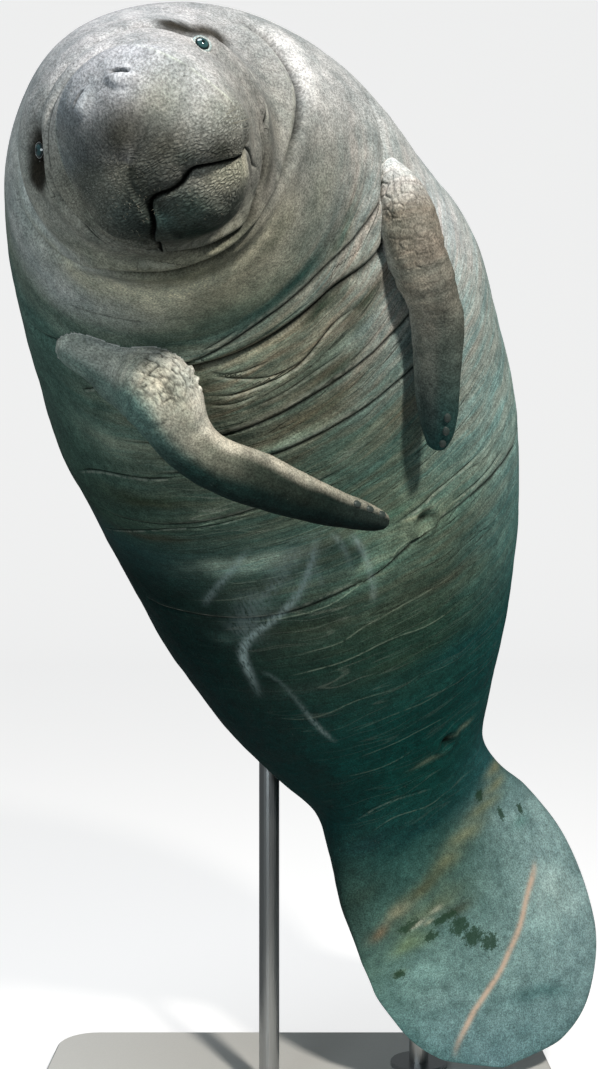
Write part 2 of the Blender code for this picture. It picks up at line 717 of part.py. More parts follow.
def rounded_plate(name, size, corner, edge):
    """A flat base with round corners and a small bevel on its upper edge."""
    long, deep, high = size[0] / 2, size[1] / 2, size[2]
    outline = []
    for quarter, (sx, sy) in enumerate(((1, 1), (-1, 1), (-1, -1), (1, -1))):
        for k in range(9):
            turn = math.pi / 2 * (quarter + k / 8)
            x = sx * (long - corner) + corner * math.cos(turn)
            y = sy * (deep - corner) + corner * math.sin(turn)
            outline.append((x, y))
    inner = [(x * (1 - edge / long), y * (1 - edge / deep)) for x, y in outline]
    rings = []
    for row, level in ((outline, 0.0), (outline, high - edge), (inner, high)):
        rings.append([(x, y, level) for x, y in row])
    return new_object(name, ring_mesh(name, rings))


def rod(name, x, y, top):
    """A round rod with a flange at its foot, standing on the base."""
    wide, high = FLANGE
    profile = (
        (wide, 0.0), (wide, high - FLANGE_EDGE), (wide - FLANGE_EDGE, high), (ROD_RADIUS, high),
        (ROD_RADIUS, top - BASE_SIZE[2] - GAP),
    )
    rings = []
    for radius, height in profile:
        ring = []
        for k in range(24):
            turn = 2 * math.pi * k / 24
            across, deep = radius * math.cos(turn), radius * math.sin(turn)
            ring.append((x + across, y + deep, BASE_SIZE[2] + GAP + height))
        rings.append(ring)
    return new_object(name, ring_mesh(name, rings))


def make_stand(pieces, body):
    """The base, and two rods that end in sockets under the body."""
    bm = bmesh.new()
    bm.from_mesh(body.data)
    tree = BVHTree.FromBMesh(bm)
    bm.free()
    stand = [rounded_plate("stand_base", BASE_SIZE, BASE_CORNER, BASE_EDGE)]
    for name, (x, y) in RODS.items():
        levels = []
        for k in range(8):
            turn = 2 * math.pi * k / 8
            start = Vector((x + ROD_RADIUS * math.cos(turn), y + ROD_RADIUS * math.sin(turn), BASE_SIZE[2]))
            hit = tree.ray_cast(start, Vector((0, 0, 1)))[0]
            if hit:
                levels.append(hit.z)
        top = max(levels) + ROD_SUNK
        post = rod(name, x, y, top)
        cutter = swollen(post, GAP, name + "_cutter")
        for piece in pieces.values():
            boolean(piece, cutter, "DIFFERENCE")
            triangulate(piece)
        remove(cutter)
        stand.append(post)
    return stand


def main():
    clear_scene()
    skin = finish("skin", (0.17, 0.19, 0.18), 0.5)
    nail_finish = finish("nail", (0.36, 0.31, 0.24), 0.45)
    eye_finish = finish("eye", (0.02, 0.05, 0.05), 0.08)
    base_finish = finish("stand_base", (0.72, 0.72, 0.70), 0.5)
    rod_finish = finish("stand_rod", (0.55, 0.56, 0.57), 0.3, 1.0)

    body = make_body()
    eyes = make_eyes(body)
    cutter = swollen(body, GAP, "body_cutter")
    for side, rows in (("right", FLIPPER_RIGHT), ("left", FLIPPER_LEFT)):
        flipper, whole, path = make_flipper(side, rows, body, cutter)
        dress(flipper, skin)
        for nail in make_nails(side, whole, path):
            dress(nail, nail_finish)
        remove(whole)
    remove(cutter)
    pieces = part_body(body)
    stand = make_stand(pieces, body)
    remove(body)
    for piece in pieces.values():
        dress(piece, skin)
    for eye in eyes.values():
        dress(eye, eye_finish)
    dress(stand[0], base_finish)
    for post in stand[1:]:
        dress(post, rod_finish)


main()
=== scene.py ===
import math

import bmesh
import bpy
import numpy as np
from mathutils import Matrix, Vector


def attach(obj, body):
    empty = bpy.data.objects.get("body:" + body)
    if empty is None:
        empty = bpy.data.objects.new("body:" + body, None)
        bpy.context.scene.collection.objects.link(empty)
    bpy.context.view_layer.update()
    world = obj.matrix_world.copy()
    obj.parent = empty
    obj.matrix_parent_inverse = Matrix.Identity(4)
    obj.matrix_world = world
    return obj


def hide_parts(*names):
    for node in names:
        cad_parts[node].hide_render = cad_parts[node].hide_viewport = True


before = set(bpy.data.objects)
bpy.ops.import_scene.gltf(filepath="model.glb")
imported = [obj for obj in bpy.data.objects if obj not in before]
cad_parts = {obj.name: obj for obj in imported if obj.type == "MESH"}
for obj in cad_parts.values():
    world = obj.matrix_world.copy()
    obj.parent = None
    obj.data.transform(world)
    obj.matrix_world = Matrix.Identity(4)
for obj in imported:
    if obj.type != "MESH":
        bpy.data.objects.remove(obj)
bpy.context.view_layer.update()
print("frame loaded, nodes:", len(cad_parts))

# The animal's build: share of the length first, then metres. Head towards -Y, tail hanging at +X.
manatee = {
    "length": 2.70,
    "spine": (
        (0.000, -0.201, -1.062, 1.643), (0.035, -0.193, -0.963, 1.688), (0.090, -0.210, -0.812, 1.728),
        (0.200, -0.176, -0.500, 1.736), (0.320, -0.086, -0.200, 1.596), (0.450, 0.011, 0.020, 1.391),
        (0.600, 0.112, 0.240, 1.019), (0.740, 0.226, 0.350, 0.673), (0.800, 0.287, 0.356, 0.545), (0.860, 0.363, 0.345, 0.419),
        (1.000, 0.428, 0.300, 0.080)),
    "headRoll": 46.5,
    "twist": ((0.00, -19.3), (0.06, -16.0), (0.20, -11.3), (0.45, 5.3), (0.75, 9.1), (1.00, 6.7)),
    # share, half width, spine to belly, spine to back
    "sections": (
        (0.000, .003, .003, .003), (0.002, .046, .044, .044), (0.005, .074, .070, .072), (0.010, .099, .092, .098),
        (0.016, .116, .108, .117), (0.022, .122, .114, .122), (0.028, .119, .114, .118), (0.036, .120, .118, .114),
        (0.050, .132, .131, .122), (0.075, .148, .151, .140), (0.095, .172, .170, .165), (0.120, .182, .193, .197),
        (0.165, .263, .238, .249), (0.210, .319, .276, .288), (0.280, .378, .328, .333), (0.360, .427, .358, .358),
        (0.450, .429, .360, .360), (0.540, .403, .334, .340), (0.620, .341, .270, .290), (0.680, .271, .199, .224),
        (0.735, .209, .138, .158), (0.765, .226, .108, .127), (0.810, .265, .070, .081), (0.860, .286, .039, .045),
        (0.905, .281, .026, .029), (0.950, .239, .017, .019), (0.985, .148, .011, .011), (1.000, .006, .005, .005)),
    # the muzzle is narrower on its right: middle angle, spread, share taken off, shares where this fades
    "muzzleSide": (185.0, 60.0, 0.25, 0.028, 0.075),
    "headRings": 230,       # rings over the first 15 hundredths of the length
    "bodyRings": 500,
    "frontSpokes": 300,     # spokes on the belly side, which has the finer markings
    "backSpokes": 120,
}


def smoothThrough(knots, values, at):
    knots, values = np.asarray(knots, float), np.asarray(values, float)
    count, step = len(knots), np.diff(knots)
    matrix, right = np.zeros((count, count)), np.zeros(values.shape)
    matrix[0, 0] = matrix[-1, -1] = 1.0
    for i in range(1, count - 1):
        matrix[i, i - 1:i + 2] = step[i - 1], 2 * (step[i - 1] + step[i]), step[i]
        right[i] = 6 * ((values[i + 1] - values[i]) / step[i] - (values[i] - values[i - 1]) / step[i - 1])
    bend = np.linalg.solve(matrix, right)
    j = np.clip(np.searchsorted(knots, at, side="right") - 1, 0, count - 2)
    span, before, after = step[j], knots[j + 1] - at, at - knots[j]
    if values.ndim > 1:
        span, before, after = span[:, None], before[:, None], after[:, None]
    curve = bend[j] * before ** 3 / (6 * span) + bend[j + 1] * after ** 3 / (6 * span)
    curve = curve + (values[j] / span - bend[j] * span / 6) * before
    return curve + (values[j + 1] / span - bend[j + 1] * span / 6) * after


def steadyThrough(knots, values, at):
    knots, values = np.asarray(knots, float), np.asarray(values, float)
    step = np.diff(knots)
    rise = np.diff(values) / step
    slope = np.concatenate(([rise[0]], np.zeros(len(knots) - 2), [rise[-1]]))
    for i in range(1, len(knots) - 1):
        if rise[i - 1] * rise[i] > 0:
            w1, w2 = 2 * step[i] + step[i - 1], step[i] + 2 * step[i - 1]
            slope[i] = (w1 + w2) / (w1 / rise[i - 1] + w2 / rise[i])
    j = np.clip(np.searchsorted(knots, at, side="right") - 1, 0, len(knots) - 2)
    t = np.clip((at - knots[j]) / step[j], 0.0, 1.0)
    lead = values[j] * (1 + 2 * t) * (1 - t) ** 2 + slope[j] * step[j] * t * (1 - t) ** 2
    return lead + values[j + 1] * t * t * (3 - 2 * t) + slope[j + 1] * step[j] * t * t * (t - 1)


def unit(rows):
    return rows / np.maximum(np.linalg.norm(rows, axis=-1, keepdims=True), 1e-12)


def spineFrames(share):
    fine = np.linspace(0.0, 1.0, 401)
    spine = np.array(manatee["spine"])
    centre = smoothThrough(spine[:, 0], spine[:, 1:], fine)
    along = unit(np.gradient(centre, fine, axis=0))
    roll = math.radians(manatee["headRoll"])
    side = np.array([math.cos(roll), 0.0, math.sin(roll)])
    left = np.zeros_like(centre)
    for i, direction in enumerate(along):
        side = side - side.dot(direction) * direction
        side /= np.linalg.norm(side)
        left[i] = side
    belly = np.cross(along, left)
    twist = np.array(manatee["twist"])
    turn = np.radians(steadyThrough(twist[:, 0], twist[:, 1], fine))[:, None]
    turnedLeft = np.cos(turn) * left - np.sin(turn) * belly
    turnedBelly = np.cos(turn) * belly + np.sin(turn) * left
    found = []
    for rows in (centre, along, turnedLeft, turnedBelly):
        found.append(np.stack([np.interp(share, fine, rows[:, k]) for k in range(3)], axis=-1))
    return found[0], unit(found[1]), unit(found[2]), unit(found[3])


def sectionSizes(share):
    table = np.array(manatee["sections"])
    return [steadyThrough(table[:, 0], table[:, k], share) for k in (1, 2, 3)]


def hump(distance, width):
    return np.exp(-(distance / width) ** 2)


def ramp(value, low, high):
    t = np.clip((value - low) / (high - low), 0, 1)
    return t * t * (3 - 2 * t)


def plainBody(share, angle):
    centre, _, left, belly = spineFrames(share)
    wide, low, high = sectionSizes(share)
    middle, spread, most, start, stop = manatee["muzzleSide"]
    away = (np.degrees(angle) - middle + 180) % 360 - 180
    close = 1 - most * (1 - ramp(share, start, stop))[:, None] * hump(away, spread)[None, :]
    cos, sin = np.cos(angle)[None, :] * close, np.sin(angle)[None, :] * close
    down = np.where(sin > 0, low[:, None] * sin, high[:, None] * sin)
    return centre[:, None] + left[:, None] * (wide[:, None] * cos)[..., None] + belly[:, None] * down[..., None]


def softNoise(points, size, seed, octaves=1):
    # smooth random values from -1 to 1, with bumps about as wide as size
    total, weight, norm = 0.0, 1.0, 0.0
    flat = points.reshape(-1, 3)
    for octave in range(octaves):
        p = flat / size + seed * 3.17 + octave * 11.3
        cell = np.floor(p).astype(np.int64)
        f = p - cell
        f = f * f * (3 - 2 * f)
        value = np.zeros(len(flat))
        for corner in range(8):
            offset = np.array([corner & 1, corner >> 1 & 1, corner >> 2 & 1])
            c = cell + offset
            h = (c[:, 0] * 73856093 ^ c[:, 1] * 19349663 ^ c[:, 2] * 83492791 ^ seed * 4256249) & 0x7fffffff
            h = (h ^ (h >> 13)) * 1274126177 & 0x7fffffff
            h = h ^ (h >> 15)
            share = np.prod(np.where(offset, f, 1 - f), axis=1)
            value += share * ((h & 0xffff) / 32767.5 - 1)
        total = total + weight * value
        norm += weight
        weight, size = weight * 0.5, size * 0.5
    return (total / norm).reshape(points.shape[:-1])


# Folds of the skin. Path: degrees round the body (0 its left side, 90 belly, 180 its right side), share of the length
folds = {
    "behindLip": {"depth": .010, "width": .008, "path": (
        (124, .044), (150, .036), (180, .031), (240, .030), (300, .031), (345, .034), (378, .044))},
    "behindCrescent": {"depth": .0045, "width": .006, "path": (
        (140, .066), (180, .060), (240, .058), (300, .058), (345, .060), (370, .068))},
    "forehead": {"depth": .008, "width": .009, "path": (
        (195, .070), (228, .072), (250, .073), (276, .078), (300, .085), (318, .083))},
    "leftCheek": {"depth": .009, "width": .008, "path": ((-22, .096), (-3, .091), (9, .090), (23, .089), (40, .088))},
    "underLip": {"depth": .012, "width": .007, "path": (
        (33, .081), (45, .083), (57, .088), (67, .092), (80, .085), (90, .078), (103, .066), (117, .058), (130, .055),
        (158, .060), (182, .062))},
    "chin": {"depth": .017, "width": .009, "path": (
        (-13, .151), (6, .148), (17, .142), (30, .131), (45, .118), (61, .107), (76, .101), (101, .095), (124, .093),
        (138, .097), (153, .112), (168, .131), (190, .139))},
    "collar": {"depth": .010, "width": .012, "path": (
        (14, .213), (35, .213), (54, .231), (73, .214), (117, .208), (146, .196), (177, .218))},
    "chest": {"depth": .0040, "width": .005, "path": ((60, .286), (76, .282), (95, .278), (117, .279), (135, .278))},
    "breast": {"depth": .0040, "width": .005, "path": ((70, .322), (86, .316), (96, .313), (108, .311), (130, .306))},
    "armpit": {"depth": .0040, "width": .006, "path": (
        (40, .212), (51, .207), (73, .192), (90, .190), (114, .199), (126, .206))},
    "navel": {"depth": .0035, "width": .006, "path": (
        (50, .483), (76, .476), (90, .475), (110, .493), (138, .502), (165, .498))},
    "flank": {"depth": .0030, "width": .006, "path": ((115, .357), (136, .361), (150, .361), (172, .366))},
}

face = {
    # across to its left, down, in the plane square to the muzzle
    "mouth": ((-.058, .122), (-.0462, .1065), (-.0289, .0887), (-.0152, .0703), (-.0090, .0570), (-.0019, .0500),
              (.0185, .0495), (.0387, .0470), (.0480, .0420), (.0574, .0385), (.0679, .0405), (.0784, .0445),
              (.0887, .0485), (.0979, .0525), (.125, .060)),
    "lowerLipBack": (.010, .40, .042),
    "lowerLipPad": (.036, .096, .046, .012),
    "mouthGroove": (.012, .0028),
    "lipRoll": (.022, .009),            # how far above the slit the upper lip starts to curl back, and how deep
    "lobes": ((-.066, .062, .032, .010), (.092, .018, .036, .012), (0.0, -.02, .07, .006)),
    "jawFill": (.010, .038, .020),
    "nostrils": ((.0285, -.0890, 22.0), (-.0260, -.0820, -36.0)),
    "nostrilRim": (.0175, .0105, .0080),
    "nostrilSlit": (.0108, .0021, .0120),
    # share of the length, angle, how far the eye turns to the front, its mound, its hollow, how deep it sits
    "eyes": {
        "left": {"at": (.0785, -29.5), "turn": 0.9, "mound": (.010, .020, .018), "hollow": (.0054, .022, .020),
                 "sunk": .0050, "lid": "#8d9a9c"},
        "right": {"at": (.0765, -151.5), "turn": 0.30, "mound": (.004, .022, .022), "hollow": (.018, .032, .002),
                  # near-black lid: painted shade round its right eye, which sits deep
                  "sunk": .0180, "lid": "#1e1b17"}},
    "eyeRadius": .013,
    "lid": (.0114, .0026),
}

# Thin creases of the skin: depth, half width, then degrees and share as above
creases = {
    "armpitFan1": (.0016, .0030, ((112, .191), (106, .188), (99, .184))),
    "armpitFan2": (.0018, .0030, ((113, .216), (107, .226), (97, .229))),
    "armpitFan3": (.0022, .0030, ((113, .220), (107, .232), (100, .243), (92, .245))),
    "armpitFan4": (.0028, .0034, ((117, .239), (111, .245), (102, .247), (92, .247), (80, .237), (71, .240))),
    "armpitFan5": (.0016, .0030, ((118, .248), (112, .253), (106, .253))),
    "armpitFan6": (.0014, .0026, ((112, .262), (100, .262), (90, .260), (80, .262))),
    "armpitFan7": (.0012, .0026, ((110, .205), (98, .204), (86, .202), (76, .205))),
    "rightArmpit1": (.0022, .0034, ((157, .242), (146, .228))),
    "rightArmpit2": (.0024, .0034, ((177, .333), (162, .315), (147, .311), (134, .309))),
    "rightSide": (.0020, .0034, ((187, .419), (155, .372), (140, .368), (124, .365))),
    "side1": (-.0008, .0018, ((142, .366), (137, .364), (131, .362), (123, .362))),
    "side2": (-.0007, .0018, ((143, .370), (136, .377), (126, .399))),
    "side3": (-.0008, .0018, ((134, .418), (124, .418), (115, .417), (104, .413))),
    "side4": (-.0010, .0020, ((144, .458), (140, .462), (132, .461), (124, .464), (114, .461))),
    "belly1": (-.0008, .0018, ((158, .482), (145, .480), (134, .474), (123, .470), (113, .468), (102, .466))),
    "belly2": (-.0006, .0016, ((150, .440), (138, .436), (124, .437), (112, .432))),
    "belly3": (-.0006, .0016, ((96, .395), (84, .398), (72, .394), (60, .398))),
    "belly4": (-.0006, .0016, ((98, .425), (86, .430), (74, .428), (62, .432))),
    "waist": (-.0014, .0022, (
        (157, .504), (139, .505), (128, .505), (119, .502), (109, .491), (103, .484), (100, .476), (89, .475), (76, .477))),
    "low1": (-.0008, .0016, ((136, .543), (128, .541), (121, .540), (115, .534), (106, .529), (94, .527), (80, .525))),
    "low2": (-.0010, .0018, ((139, .561), (130, .559), (120, .557), (108, .553), (95, .556), (82, .552))),
    "low3": (-.0006, .0016, ((150, .602), (136, .606), (122, .600), (108, .603))),
    "low4": (-.0005, .0016, ((128, .632), (112, .628), (96, .630), (84, .626))),
    "navelLeft1": (.0018, .0028, ((100, .455), (90, .450), (82, .449), (64, .452))),
    "navelLeft2": (.0018, .0028, ((84, .466), (72, .469), (57, .470))),
    "vent1": (-.0006, .0016, ((130, .664), (106, .661), (85, .664))),
    "vent2": (-.0005, .0016, ((140, .680), (120, .684), (104, .680))),
    "stock1": (.0009, .0028, ((150, .735), (132, .728), (112, .730), (96, .736))),
    "stock2": (-.0005, .0016, ((138, .752), (120, .748), (100, .754), (86, .750))),
    "throat": (.0010, .0030, ((161, .161), (141, .155), (122, .155))),
    "muzzleEdge": (-.0022, .0034, ((285, .0235), (305, .0190), (319, .0176), (338, .0178), (353, .0200), (369, .0250))),
    "muzzleEdgeRight": (-.0020, .0026, ((128, .0225), (150, .0215), (175, .0210), (200, .0210), (225, .0212), (255, .0215))),
    "leftCrescent": (.0026, .0030, ((34, .086), (24, .0875), (7, .106), (-6, .115), (-19, .104))),
    "rightCheek": (.0024, .0030, ((200, .110), (177, .101), (165, .0997), (152, .098))),
    "cheekLine": (.0022, .0030, ((337, .054), (350, .058), (362, .066), (374, .072))),
    "lipCorner": (.0025, .0026, ((27, .034), (31, .045), (38, .060), (42, .075))),
}

# Old pale scars: half width, strength, then degrees and share
scars = {
    "swirl1": (.0075, .55, ((134, .419), (142, .449), (149, .471), (154, .487))),
    "swirl2": (.0130, .40, ((127, .455), (132, .471), (141, .490))),
    "swirl3": (.0085, .95, (
        (118, .432), (122, .461), (127, .483), (135, .503), (144, .519), (149, .536), (150, .554), (151, .577))),
    "swirl4": (.0050, .50, ((146, .554), (142, .565), (139, .592), (137, .618), (134, .637))),
    "swirl5": (.0060, .60, ((110, .442), (109, .467), (109, .495), (110, .514))),
    "swirl6": (.0055, .40, ((114, .432), (113, .455), (113, .481))),
    "swirl7": (.0055, .45, ((121, .463), (121, .485))),
    "haze1": (.0300, .32, ((136, .470), (143, .505), (148, .520))),
    "haze2": (.0260, .25, ((122, .430), (128, .455), (132, .475))),
    "tailHaze": (.0200, .20, ((50, .850), (56, .875), (62, .900))),
}
tailScar = (.0066, 1.0, (
    (54, .859), (57, .864), (66, .876), (74, .893), (82, .908), (89, .923), (103, .945), (117, .964), (139, .983)))


def foldOffset(fold, share, degrees):
    # metres towards the tail from the fold, and how strong it is at that angle
    turns, places = np.array(fold["path"]).T
    around = (degrees - turns[0] + 90.0) % 360.0 - 90.0 + turns[0]
    place = steadyThrough(turns, places, np.clip(around, turns[0], turns[-1]))
    fade = ramp(around, turns[0] - 18, turns[0]) * (1 - ramp(around, turns[-1], turns[-1] + 18))
    return (share - place) * manatee["length"], fade


def foldRelief(share, angle):
    height = np.zeros(np.broadcast(share, angle).shape)
    for fold in folds.values():
        off, fade = foldOffset(fold, share, np.degrees(angle))
        depth, width = fold["depth"], fold["width"]
        groove = 0.62 * hump(off, 0.6 * width) + 0.38 * hump(off, 1.5 * width)
        swell = 0.50 * hump(off + 2.4 * width, 2.2 * width) + 0.22 * hump(off - 2.6 * width, 2.4 * width)
        height += fade * depth * (swell - groove)
    return height


def mouthDistance(across, down):
    line = np.array(face["mouth"])
    inside = np.clip(across, line[0, 0], line[-1, 0])
    level = smoothThrough(line[:, 0], line[:, 1], inside.ravel()).reshape(across.shape)
    nudge = 0.0005
    ahead = np.clip(inside + nudge, line[0, 0], line[-1, 0]).ravel()
    behind = np.clip(inside - nudge, line[0, 0], line[-1, 0]).ravel()
    slope = smoothThrough(line[:, 0], line[:, 1], ahead) - smoothThrough(line[:, 0], line[:, 1], behind)
    return (down - level) / np.sqrt(1 + (slope.reshape(across.shape) / (2 * nudge)) ** 2)


def faceRelief(across, down, back, share, degrees):
    near = np.clip((0.17 - back) / 0.03, 0, 1)
    below = mouthDistance(across, down)
    within = np.clip((0.116 - across) / 0.02, 0, 1) * np.clip((across + 0.080) / 0.016, 0, 1)
    lower = within / (1 + np.exp(-below / 0.0013))
    first, slope, most = face["lowerLipBack"]
    push = lower * np.clip(first + slope * np.maximum(below, 0), 0, most) * np.clip((0.17 - back) / 0.12, 0, 1)
    depth, width = face["mouthGroove"]
    push = push + depth * hump(below - 0.0005, width) * within * near
    reach, curl = face["lipRoll"]
    push = push + curl * np.clip(1 + below / reach, 0, 1) ** 2 * (1 - lower) * within * near
    x, y, radius, height = face["lowerLipPad"]
    raised = lower * height * hump(np.hypot(across - x, down - y), radius)
    for x, y, radius, height in face["lobes"]:
        raised = raised + height * hump(np.hypot(across - x, down - y), radius) * (1 - lower)
    height, place, width = face["jawFill"]
    jaw = np.clip((degrees - 30) / 15, 0, 1) * np.clip((128 - degrees) / 12, 0, 1)
    raised = raised + jaw * lower * height * hump(share - place, width)
    long, short, height = face["nostrilRim"]
    slitLong, slitShort, depth = face["nostrilSlit"]
    for x, y, tilt in face["nostrils"]:
        tilt = math.radians(tilt)
        along = (across - x) * math.cos(tilt) + (down - y) * math.sin(tilt)
        over = (down - y) * math.cos(tilt) - (across - x) * math.sin(tilt)
        raised = raised + height * np.exp(-((along / long) ** 2 + (over / short) ** 2) ** 2)
        curve = over + 0.0060 - 9.0 * along ** 2
        raised = raised - depth * np.exp(-(along / slitLong) ** 4 - (curve / slitShort) ** 2)
    return raised * near, push


def bodyPoint(place, degrees):
    return plainBody(np.array([place]), np.radians([degrees]))[0, 0]


def eyeRelief(points, eye):
    place, degrees = eye["at"]
    height, radius, shift = eye["mound"]
    centre = bodyPoint(place + shift / manatee["length"], degrees)
    raised = eye["turn"] * height * hump(np.linalg.norm(points - centre, axis=-1), radius)
    depth, radius, shift = eye["hollow"]
    centre = bodyPoint(place - shift / manatee["length"], degrees)
    return raised - depth * hump(np.linalg.norm(points - centre, axis=-1), radius)


def inUnbentSpace(share, degrees):
    table = np.array(manatee["sections"])
    wide, low, high = (np.interp(share, table[:, 0], table[:, k]) for k in (1, 2, 3))
    sin = np.sin(np.radians(degrees))
    return np.stack(np.broadcast_arrays(share * manatee["length"], wide * np.cos(np.radians(degrees)),
                                        np.where(sin > 0, low, high) * sin), axis=-1)


def smoothPath(path, steps):
    turns, places = np.array(path, float).T
    count = len(turns)
    fine = np.linspace(0, count - 1, steps * (count - 1) + 1)
    return [smoothThrough(np.arange(count), row, fine) for row in (turns, places)]


def scarMask(lines, rest):
    # 1 on the line, fading over its half width; rest is in metres on the unbent body
    mask = np.zeros(rest.shape[:-1])
    for wide, strength, path in lines:
        turns, places = smoothPath(path, 4)
        spots = inUnbentSpace(places, turns)
        reach = 3 * wide
        near = (rest[..., 0] > spots[:, 0].min() - reach) & (rest[..., 0] < spots[:, 0].max() + reach)
        some, best = rest[near], np.full(near.sum(), 1.0)
        taper = np.ones(near.sum())
        for k in range(len(spots) - 1):
            step = spots[k + 1] - spots[k]
            t = np.clip((some - spots[k]) @ step / (step @ step), 0, 1)
            away = np.linalg.norm(some - spots[k] - t[:, None] * step, axis=-1)
            along = (k + t) / (len(spots) - 1)
            taper = np.where(away < best, np.minimum(1, np.minimum(along, 1 - along) / 0.18 + 0.15), taper)
            best = np.minimum(away, best)
        mask[near] = np.maximum(mask[near], strength * taper * hump(best, wide))
    return mask


def creaseField(share, degrees):
    # metres to the nearest thin crease, signed, how strong it is, and the relief of all of them
    nearest, mask, height = np.full(share.shape, 0.05), np.zeros(share.shape), np.zeros(share.shape)
    table = np.array(manatee["sections"])
    for depth, width, path in creases.values():
        turns, places = smoothPath(path, 5)
        margin = 0.045 / manatee["length"]
        near = (share > places.min() - margin) & (share < places.max() + margin)
        s, a = share[near] * manatee["length"], degrees[near]
        best, strength = np.full(s.shape, 0.05), np.zeros(s.shape)
        for k in range(len(places) - 1):
            wide = np.interp(places[k], table[:, 0], table[:, 1])
            x = s - places[k] * manatee["length"]
            y = np.radians((a - turns[k] + 180) % 360 - 180) * wide
            dx, dy = (places[k + 1] - places[k]) * manatee["length"], math.radians(turns[k + 1] - turns[k]) * wide
            t = np.clip((x * dx + y * dy) / (dx * dx + dy * dy), 0, 1)
            away = np.hypot(x - t * dx, y - t * dy) * np.where(x * dy - y * dx > 0, 1, -1)
            along = (k + t) / (len(places) - 1)
            closer = np.abs(away) < np.abs(best)
            strength = np.where(closer, np.minimum(1, np.minimum(along, 1 - along) / 0.2), strength)
            best = np.where(closer, away, best)
        height[near] -= depth * strength * (hump(best, width) - 0.3 * hump(np.abs(best) - 2.6 * width, 2 * width))
        closer = np.abs(best) < np.abs(nearest[near])
        nearest[near] = np.where(closer, best, nearest[near])
        drawn = max(-1.0, depth / 0.0010) if depth < 0 else min(1.0, depth / 0.0022)
        mask[near] = np.where(closer, strength * drawn, mask[near])
    return nearest, mask, height


# Navel and vent: share, angle, then sizes in metres
pouches = ((.1050, -35, .034), (.0930, -42, .024), (.1170, -27, .024))


def pouchMask(points):
    # the wrinkled skin above its left eye
    return sum(hump(np.linalg.norm(points - bodyPoint(place, turn), axis=-1), radius) for place, turn, radius in pouches)


spots = {
    "navel": {"at": (.466, 92.0), "pit": (.018, .010), "rim": (.026, .010, .006)},
    "vent": {"at": (.694, 86.0), "pit": (.013, .010), "rim": (.026, .010, .004)},
}


def spotRelief(points):
    height = 0.0
    for spot in spots.values():
        away = np.linalg.norm(points - bodyPoint(*spot["at"]), axis=-1)
        radius, depth = spot["pit"]
        ring, width, rise = spot["rim"]
        height = height - depth * hump(away, radius) + rise * hump(away - ring, width)
    return height


def bodyRings():
    head = 0.15 * (np.linspace(0.0, 1.0, manatee["headRings"])) ** 1.5
    rest = np.linspace(0.15, 1.0, manatee["bodyRings"] + 1)[1:]
    return np.concatenate((head, rest))


def bodySpokes():
    front = np.linspace(0.0, math.pi, manatee["frontSpokes"], endpoint=False)
    back = np.linspace(math.pi, 2 * math.pi, manatee["backSpokes"], endpoint=False)
    return np.concatenate((front, back))


def bodySurface(share, angle):
    points = plainBody(share, angle)
    downBody = np.gradient(points, axis=0)
    around = np.roll(points, -1, axis=1) - np.roll(points, 1, axis=1)
    normal = unit(np.cross(around, downBody))
    centre, along, _, _ = spineFrames(share)
    outward = points - centre[:, None]
    normal *= np.sign(np.sum(normal * (outward - along[:, None] * 0.001), axis=-1, keepdims=True))
    normal[0], normal[-1] = -along[0], along[-1]
    o, t, l, v = (row[0] for row in spineFrames(np.array([0.0])))
    offset = points - o
    across, down, back = offset @ l, offset @ v, offset @ t
    height = foldRelief(share[:, None], angle[None, :])
    raised, push = faceRelief(across, down, back, share[:, None], np.degrees(angle)[None, :])
    height = height + raised + spotRelief(points)
    for eye in face["eyes"].values():
        height = height + eyeRelief(points, eye)
    around = np.degrees(angle)[None, :] + np.zeros((len(share), 1))
    height = height + creaseField(share[:, None] + np.zeros_like(around), around)[2]
    body = ramp(share, 0.10, 0.25)[:, None] * (1 - ramp(share, 0.78, 0.88))[:, None]
    height = height + body * (0.0035 * softNoise(points, 0.16, 3, 2) + 0.0012 * softNoise(points, 0.04, 7, 2))
    height = height - pouchMask(points) * (0.0045 - 0.0050 * softNoise(points, 0.012, 9, 2))
    points = points + normal * height[..., None] + along[0] * push[..., None]
    points[0], points[-1] = points[0].mean(axis=0), points[-1].mean(axis=0)
    return points, (across, down, back)


def closedTube(name, points):
    rings, spokes = points.shape[:2]
    verts = np.concatenate((points[:1, 0], points[1:-1].reshape(-1, 3), points[-1:, 0]))
    k = np.arange(spokes)
    n = (k + 1) % spokes
    first = 1 + np.arange(rings - 3)[:, None] * spokes
    quads = np.stack((first + k, first + n, first + spokes + n, first + spokes + k), axis=-1).reshape(-1, 4)
    last, tail = len(verts) - 1, 1 + (rings - 3) * spokes
    caps = [(0, 1 + int(b), 1 + int(a)) for a, b in zip(k, n)] + [(last, tail + int(a), tail + int(b)) for a, b in zip(k, n)]
    mesh = bpy.data.meshes.new(name)
    mesh.from_pydata(verts.tolist(), [], quads.tolist() + caps)
    return newObject(name, facingOut(mesh))


def facingOut(mesh):
    bm = bmesh.new()
    bm.from_mesh(mesh)
    if bm.calc_volume(signed=True) < 0:
        bmesh.ops.reverse_faces(bm, faces=bm.faces)
    bm.to_mesh(mesh)
    bm.free()
    return mesh


def newObject(name, mesh):
    piece = bpy.data.objects.new(name, mesh)
    bpy.context.scene.collection.objects.link(piece)
    return piece


def fromRings(values):
    # one value per vertex of a closed tube from a grid of rings
    return np.concatenate((values[:1, 0], values[1:-1].reshape((-1,) + values.shape[2:]), values[-1:, 0]))


